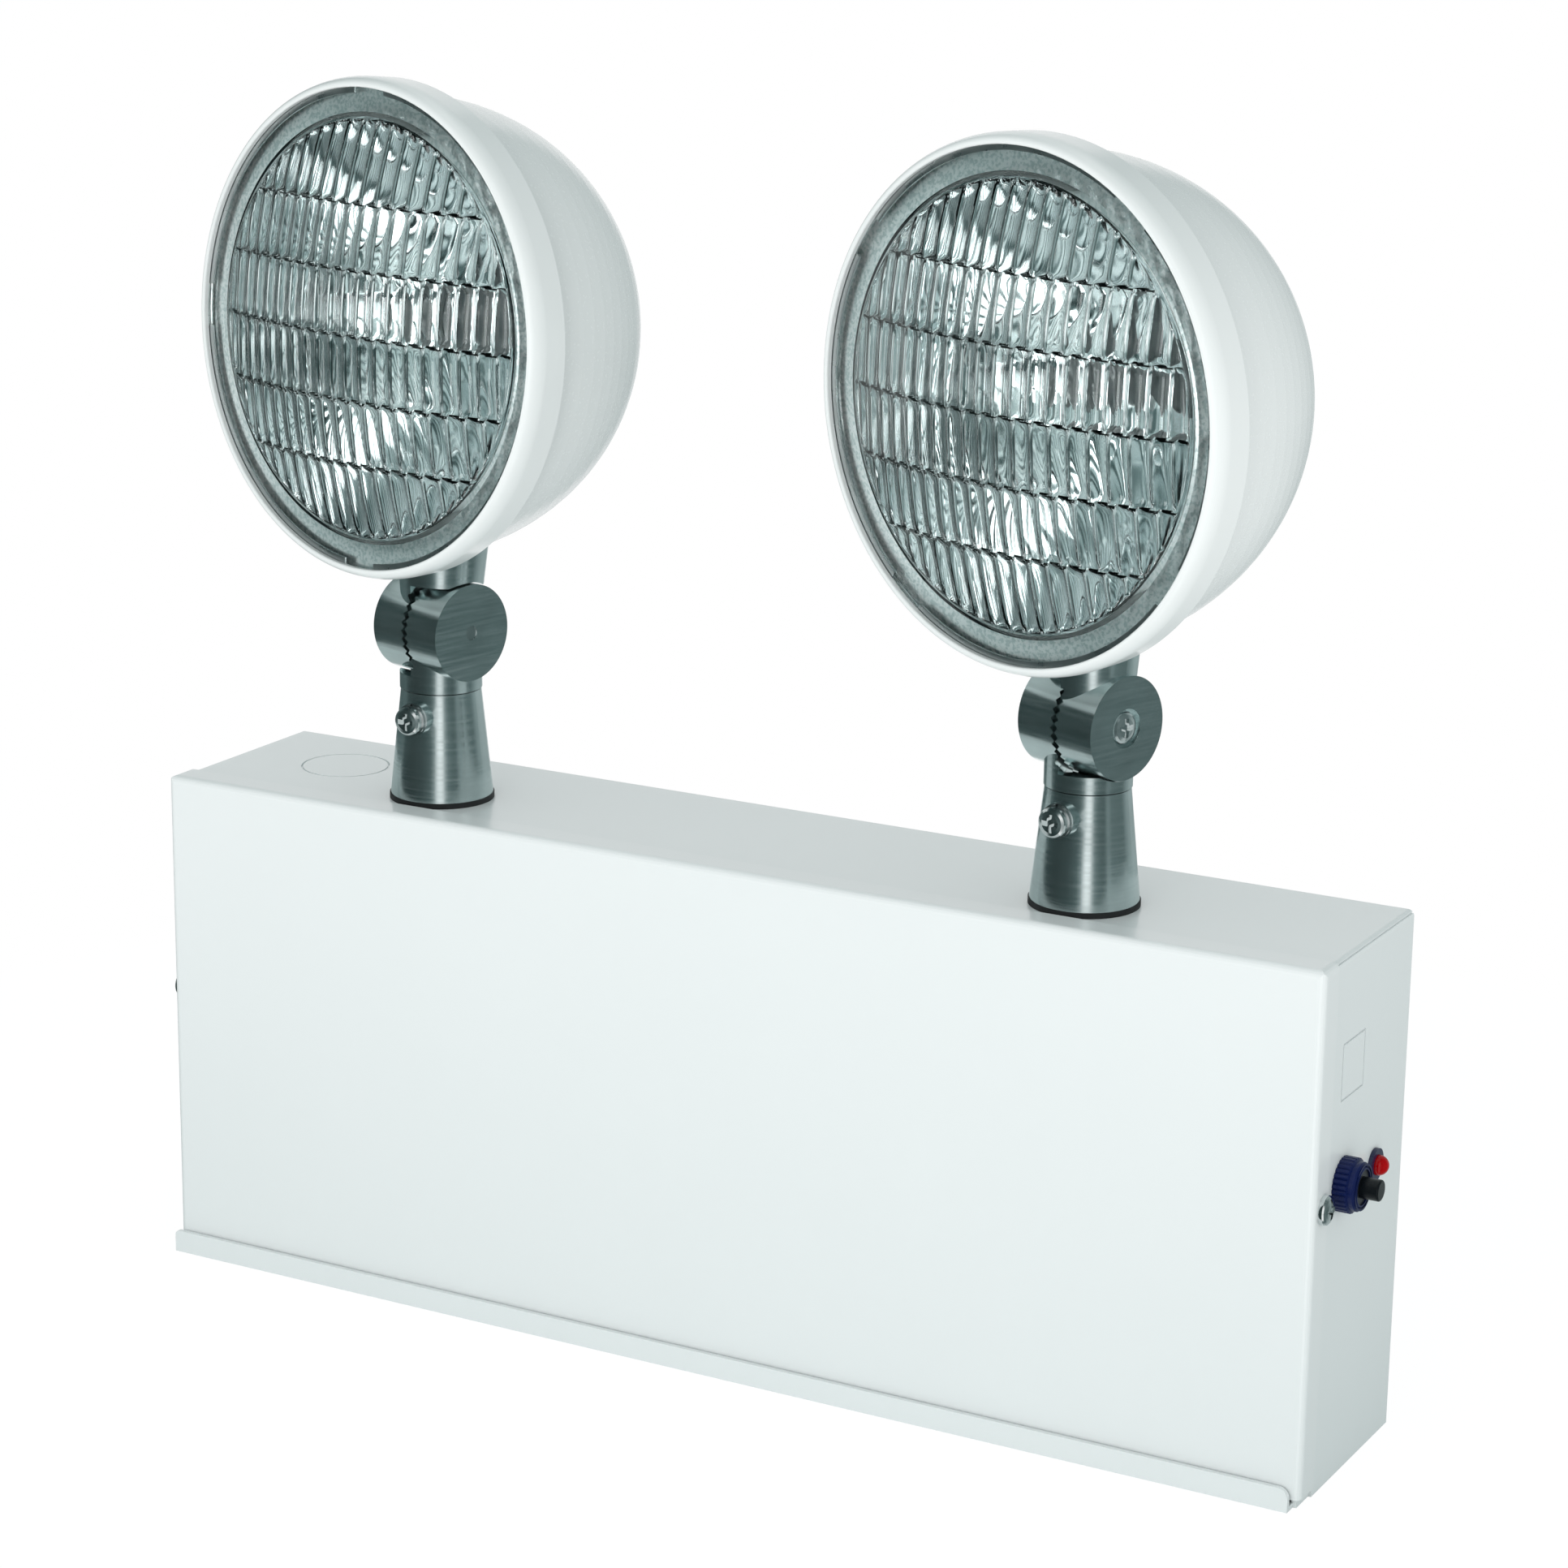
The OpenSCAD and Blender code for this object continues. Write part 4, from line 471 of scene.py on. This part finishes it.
def reflector_shapes():
    """The reflector's bowl, and the flat flange round it that shows through the lens's rim."""
    split_r = LENS_INNER_R + SEAT
    bowl = parabola(VERTEX + REFLECTOR_T, OUTER_FOCAL, REFLECTOR_RIM_R - 2 * REFLECTOR_T, BOSS_R,
                    BOWL_BACK_STEPS)
    bowl += [(BOSS_R, BOSS_END), (BULB_HOLE_R, BOSS_END)]
    bowl += parabola(VERTEX, FOCAL_LENGTH, BULB_HOLE_R, LENS_INNER_R - SEAT, BOWL_STEPS)
    bowl += [(LENS_INNER_R, LAMP_SEAM + SEAT), (split_r, LAMP_SEAM + SEAT), (split_r, LAMP_BACK)]
    flange = [(split_r + SEAT, LAMP_SEAM + SEAT), (LAMP_R, LAMP_SEAM + SEAT), (LAMP_R, LAMP_BACK),
              (REFLECTOR_RIM_R, LAMP_BACK), (split_r + SEAT, LAMP_BACK)]
    return turned(bowl), turned(flange)


def make_reflector(side, shapes, materials):
    for name, shape, look in zip(("_reflector_bowl", "_reflector_flange"), shapes,
                                 ("reflector_silver", "rim_silver")):
        piece = lamp_piece(side, name, shape, materials[look])
        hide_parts(side + "_lamp_reflector")


# Stage and light

# Grey of the studio round the object, from behind, past the left, the camera and the right, to behind
MIRROR_PANELS = (
    (0.0, 1.0), (0.03, 1.0), (0.05, 0.15), (0.12, 0.12), (0.19, 0.13), (0.23, 0.05), (0.3, 0.035),
    (0.38, 0.05), (0.44, 0.1), (0.465, 0.25), (0.485, 1.0), (0.515, 1.0), (0.535, 0.25), (0.56, 0.14),
    (0.61, 0.1), (0.635, 0.28), (0.66, 0.16), (0.76, 0.14), (0.8, 0.3), (0.86, 0.45), (0.95, 0.45),
    (0.97, 1.0), (1.0, 1.0))
# Share of it that is left, from straight down to straight up
MIRROR_HEIGHTS = ((0.0, 1.0), (0.3, 1.0), (0.38, 0.8), (0.43, 1.0), (0.7, 1.0), (0.85, 0.8), (1.0, 1.0))
# The same two for rays that come through glass, and how strong they are
LENS_PANELS = (
    (0.0, 0.4), (0.17, 0.4), (0.2, 0.1), (0.26, 0.3), (0.3, 0.9), (0.33, 0.9), (0.345, 0.2), (0.37, 0.25),
    (0.385, 1.0), (0.43, 1.0), (0.445, 0.15), (0.47, 0.15), (0.485, 0.9), (0.52, 0.9), (0.54, 0.1),
    (0.63, 0.1), (0.66, 0.7), (0.75, 0.6), (0.79, 0.08), (0.9, 0.1), (1.0, 0.4))
LENS_HEIGHTS = (
    (0.0, 0.5), (0.28, 0.55), (0.34, 0.45), (0.37, 0.08), (0.415, 0.08), (0.44, 0.6), (0.48, 0.7),
    (0.5, 1.0), (0.53, 1.0), (0.56, 0.4), (0.6, 0.28), (0.66, 0.35), (0.72, 0.2), (0.8, 0.35), (1.0, 0.6))
LENS_LEVEL = 2.4
# The even light of matte surfaces, from straight down to straight up
PLAIN_PANELS = ((0.0, 0.65), (0.25, 0.95), (0.5, 1.0), (0.72, 0.95), (0.85, 0.7), (1.0, 0.65))
PLAIN_HEIGHTS = ((0.0, 1.0), (0.48, 1.0), (0.52, 0.85), (0.6, 0.8), (0.7, 0.72), (0.85, 0.62), (1.0, 0.56))
PLAIN_LEVEL = 1.19
# How much faster the red falls than the green and blue where the surroundings are darker
SHADE_TINT = 1.17

# The middle of the object, where the lamps aim
OBJECT_MIDDLE = (0, 0, 150 * MM)

FLOOR_R = 360 * MM
FLOOR_DROP = 0.02 * MM
FLOOR_COUNT = 96
FLOOR_RINGS = (0.35, 0.7, 1)
# How bright the floor shows by itself, and the share of that which the camera sees
FLOOR_GLOW = 1.05
FLOOR_GLOW_SHARE = 0.9


def ramp_of(tree, value, stops):
    """A grey that follows the value through stops of (position, grey), cooler where it is darker."""
    ramp = tree.nodes.new("ShaderNodeValToRGB")
    elements = ramp.color_ramp.elements
    while len(elements) < len(stops):
        elements.new(0.5)
    for element, (position, grey) in zip(elements, stops):
        element.position = position
        element.color = (grey ** SHADE_TINT, grey, grey, 1)
    tree.links.new(value, ramp.inputs["Fac"])
    return ramp.outputs["Color"]


def make_world():
    """White for the camera, an even level for matte surfaces, and a studio's panels in reflections."""
    world = bpy.data.worlds.new("studio")
    bpy.context.scene.world = world
    world.use_nodes = True
    tree = world.node_tree
    tree.nodes.clear()

    def node(kind, **settings):
        return add_node(tree, kind, **settings)

    def background(color, strength=1.0):
        made = node("ShaderNodeBackground")
        if isinstance(color, tuple):
            made.inputs["Color"].default_value = color
        else:
            tree.links.new(color, made.inputs["Color"])
        made.inputs["Strength"].default_value = strength
        return made.outputs["Background"]

    def mix(factor, first, second):
        made = node("ShaderNodeMixShader")
        tree.links.new(factor, made.inputs["Fac"])
        tree.links.new(first, made.inputs[1])
        tree.links.new(second, made.inputs[2])
        return made.outputs["Shader"]

    place = node("ShaderNodeTexCoord").outputs["Generated"]
    turn = node("ShaderNodeMapping", vector_type="POINT")
    turn.inputs["Rotation"].default_value = (0, 0, pi / 2 - CAMERA_AZIMUTH)
    tree.links.new(place, turn.inputs["Vector"])
    split = node("ShaderNodeSeparateXYZ")
    tree.links.new(turn.outputs["Vector"], split.inputs["Vector"])
    angle = node("ShaderNodeMath", operation="ARCTAN2")
    tree.links.new(split.outputs["Y"], angle.inputs[0])
    tree.links.new(split.outputs["X"], angle.inputs[1])
    share = node("ShaderNodeMapRange")
    share.inputs["From Min"].default_value = -pi
    share.inputs["From Max"].default_value = pi
    tree.links.new(angle.outputs["Value"], share.inputs["Value"])
    height = node("ShaderNodeMapRange")
    height.inputs["From Min"].default_value = -1
    tree.links.new(split.outputs["Z"], height.inputs["Value"])

    def panels(around, heights, level=1.0):
        """Panels round the object, dimmed by what is left at each height."""
        product = node("ShaderNodeMix", data_type="RGBA", blend_type="MULTIPLY")
        product.inputs["Factor"].default_value = 1
        tree.links.new(ramp_of(tree, share.outputs["Result"], around), product.inputs["A"])
        tree.links.new(ramp_of(tree, height.outputs["Result"], heights), product.inputs["B"])
        return background(product.outputs["Result"], level)

    mirrored = panels(MIRROR_PANELS, MIRROR_HEIGHTS)
    through = panels(LENS_PANELS, LENS_HEIGHTS, LENS_LEVEL)
    plain = panels(PLAIN_PANELS, PLAIN_HEIGHTS, PLAIN_LEVEL)
    white = background((1, 1, 1, 1))
    path = node("ShaderNodeLightPath")
    lit = mix(path.outputs["Is Glossy Ray"], plain, mirrored)
    lit = mix(path.outputs["Is Transmission Ray"], lit, through)
    out = node("ShaderNodeOutputWorld")
    tree.links.new(mix(path.outputs["Is Camera Ray"], lit, white), out.inputs["Surface"])


def make_lamp(name, azimuth, elevation, distance, size, power, through_glass):
    """A square soft light at an angle from the camera's side, aimed at the middle of the object."""
    data = bpy.data.lights.new(name, "AREA")
    data.shape = "SQUARE"
    data.size = size
    data.energy = power
    lamp = bpy.data.objects.new(name, data)
    turn = CAMERA_AZIMUTH + radians(azimuth)
    rise = radians(elevation)
    way = Vector((sin(turn) * cos(rise), -cos(turn) * cos(rise), sin(rise)))
    aim = way.to_track_quat("Z", "Y").to_matrix().to_4x4()
    lamp.matrix_world = Matrix.Translation(Vector(OBJECT_MIDDLE) + way * distance) @ aim
    lamp.visible_glossy = False
    lamp.visible_transmission = through_glass
    bpy.context.scene.collection.objects.link(lamp)


def make_floor():
    """A pale round floor that shows white, apart from a share of the object's shadow."""
    mesh = bpy.data.meshes.new("floor")
    turns = [2 * pi * i / FLOOR_COUNT for i in range(FLOOR_COUNT)]
    points = [(FLOOR_R * ring * cos(a), FLOOR_R * ring * sin(a), -FLOOR_DROP)
              for ring in FLOOR_RINGS for a in turns]
    faces = [tuple(range(FLOOR_COUNT))]
    for k in range(len(FLOOR_RINGS) - 1):
        for i in range(FLOOR_COUNT):
            a, b = k * FLOOR_COUNT + i, k * FLOOR_COUNT + (i + 1) % FLOOR_COUNT
            faces.append((a, b, b + FLOOR_COUNT, a + FLOOR_COUNT))
    mesh.from_pydata(points, [], faces)
    floor = bpy.data.objects.new("floor", mesh)
    floor.visible_glossy = False
    floor.visible_transmission = False
    bpy.context.scene.collection.objects.link(floor)
    look = Look("floor", (0.9, 0.92, 0.92), 0.9)
    look.tint(look.noise(8, 3), (0.88, 0.9, 0.9), (0.92, 0.94, 0.94))
    glow = look.node("ShaderNodeEmission")
    glow.inputs["Color"].default_value = (1, 1, 1, 1)
    glow.inputs["Strength"].default_value = FLOOR_GLOW
    path = look.node("ShaderNodeLightPath")
    share = look.node("ShaderNodeMath", operation="MULTIPLY")
    share.inputs[1].default_value = FLOOR_GLOW_SHARE
    look.link(path.outputs["Is Camera Ray"], share.inputs[0])
    mix = look.node("ShaderNodeMixShader")
    look.link(share.outputs["Value"], mix.inputs["Fac"])
    look.link(look.bsdf.outputs["BSDF"], mix.inputs[1])
    look.link(glow.outputs["Emission"], mix.inputs[2])
    look.link(mix.outputs["Shader"], look.tree.nodes["Material Output"].inputs["Surface"])
    mesh.materials.append(look.mat)


make_camera()
materials = make_materials()
dress_nodes(materials)
lens = lens_shape()
reflector = reflector_shapes()
for side in SIDES:
    make_lens(side, lens, materials)
    make_reflector(side, reflector, materials)
make_world()
make_lamp("key", azimuth=-22, elevation=6, distance=0.8, size=0.36, power=1.8, through_glass=True)
make_lamp("fill", azimuth=62, elevation=0, distance=1.2, size=0.6, power=1.0, through_glass=False)
make_floor()

bpy.context.scene.view_settings.view_transform = "Standard"
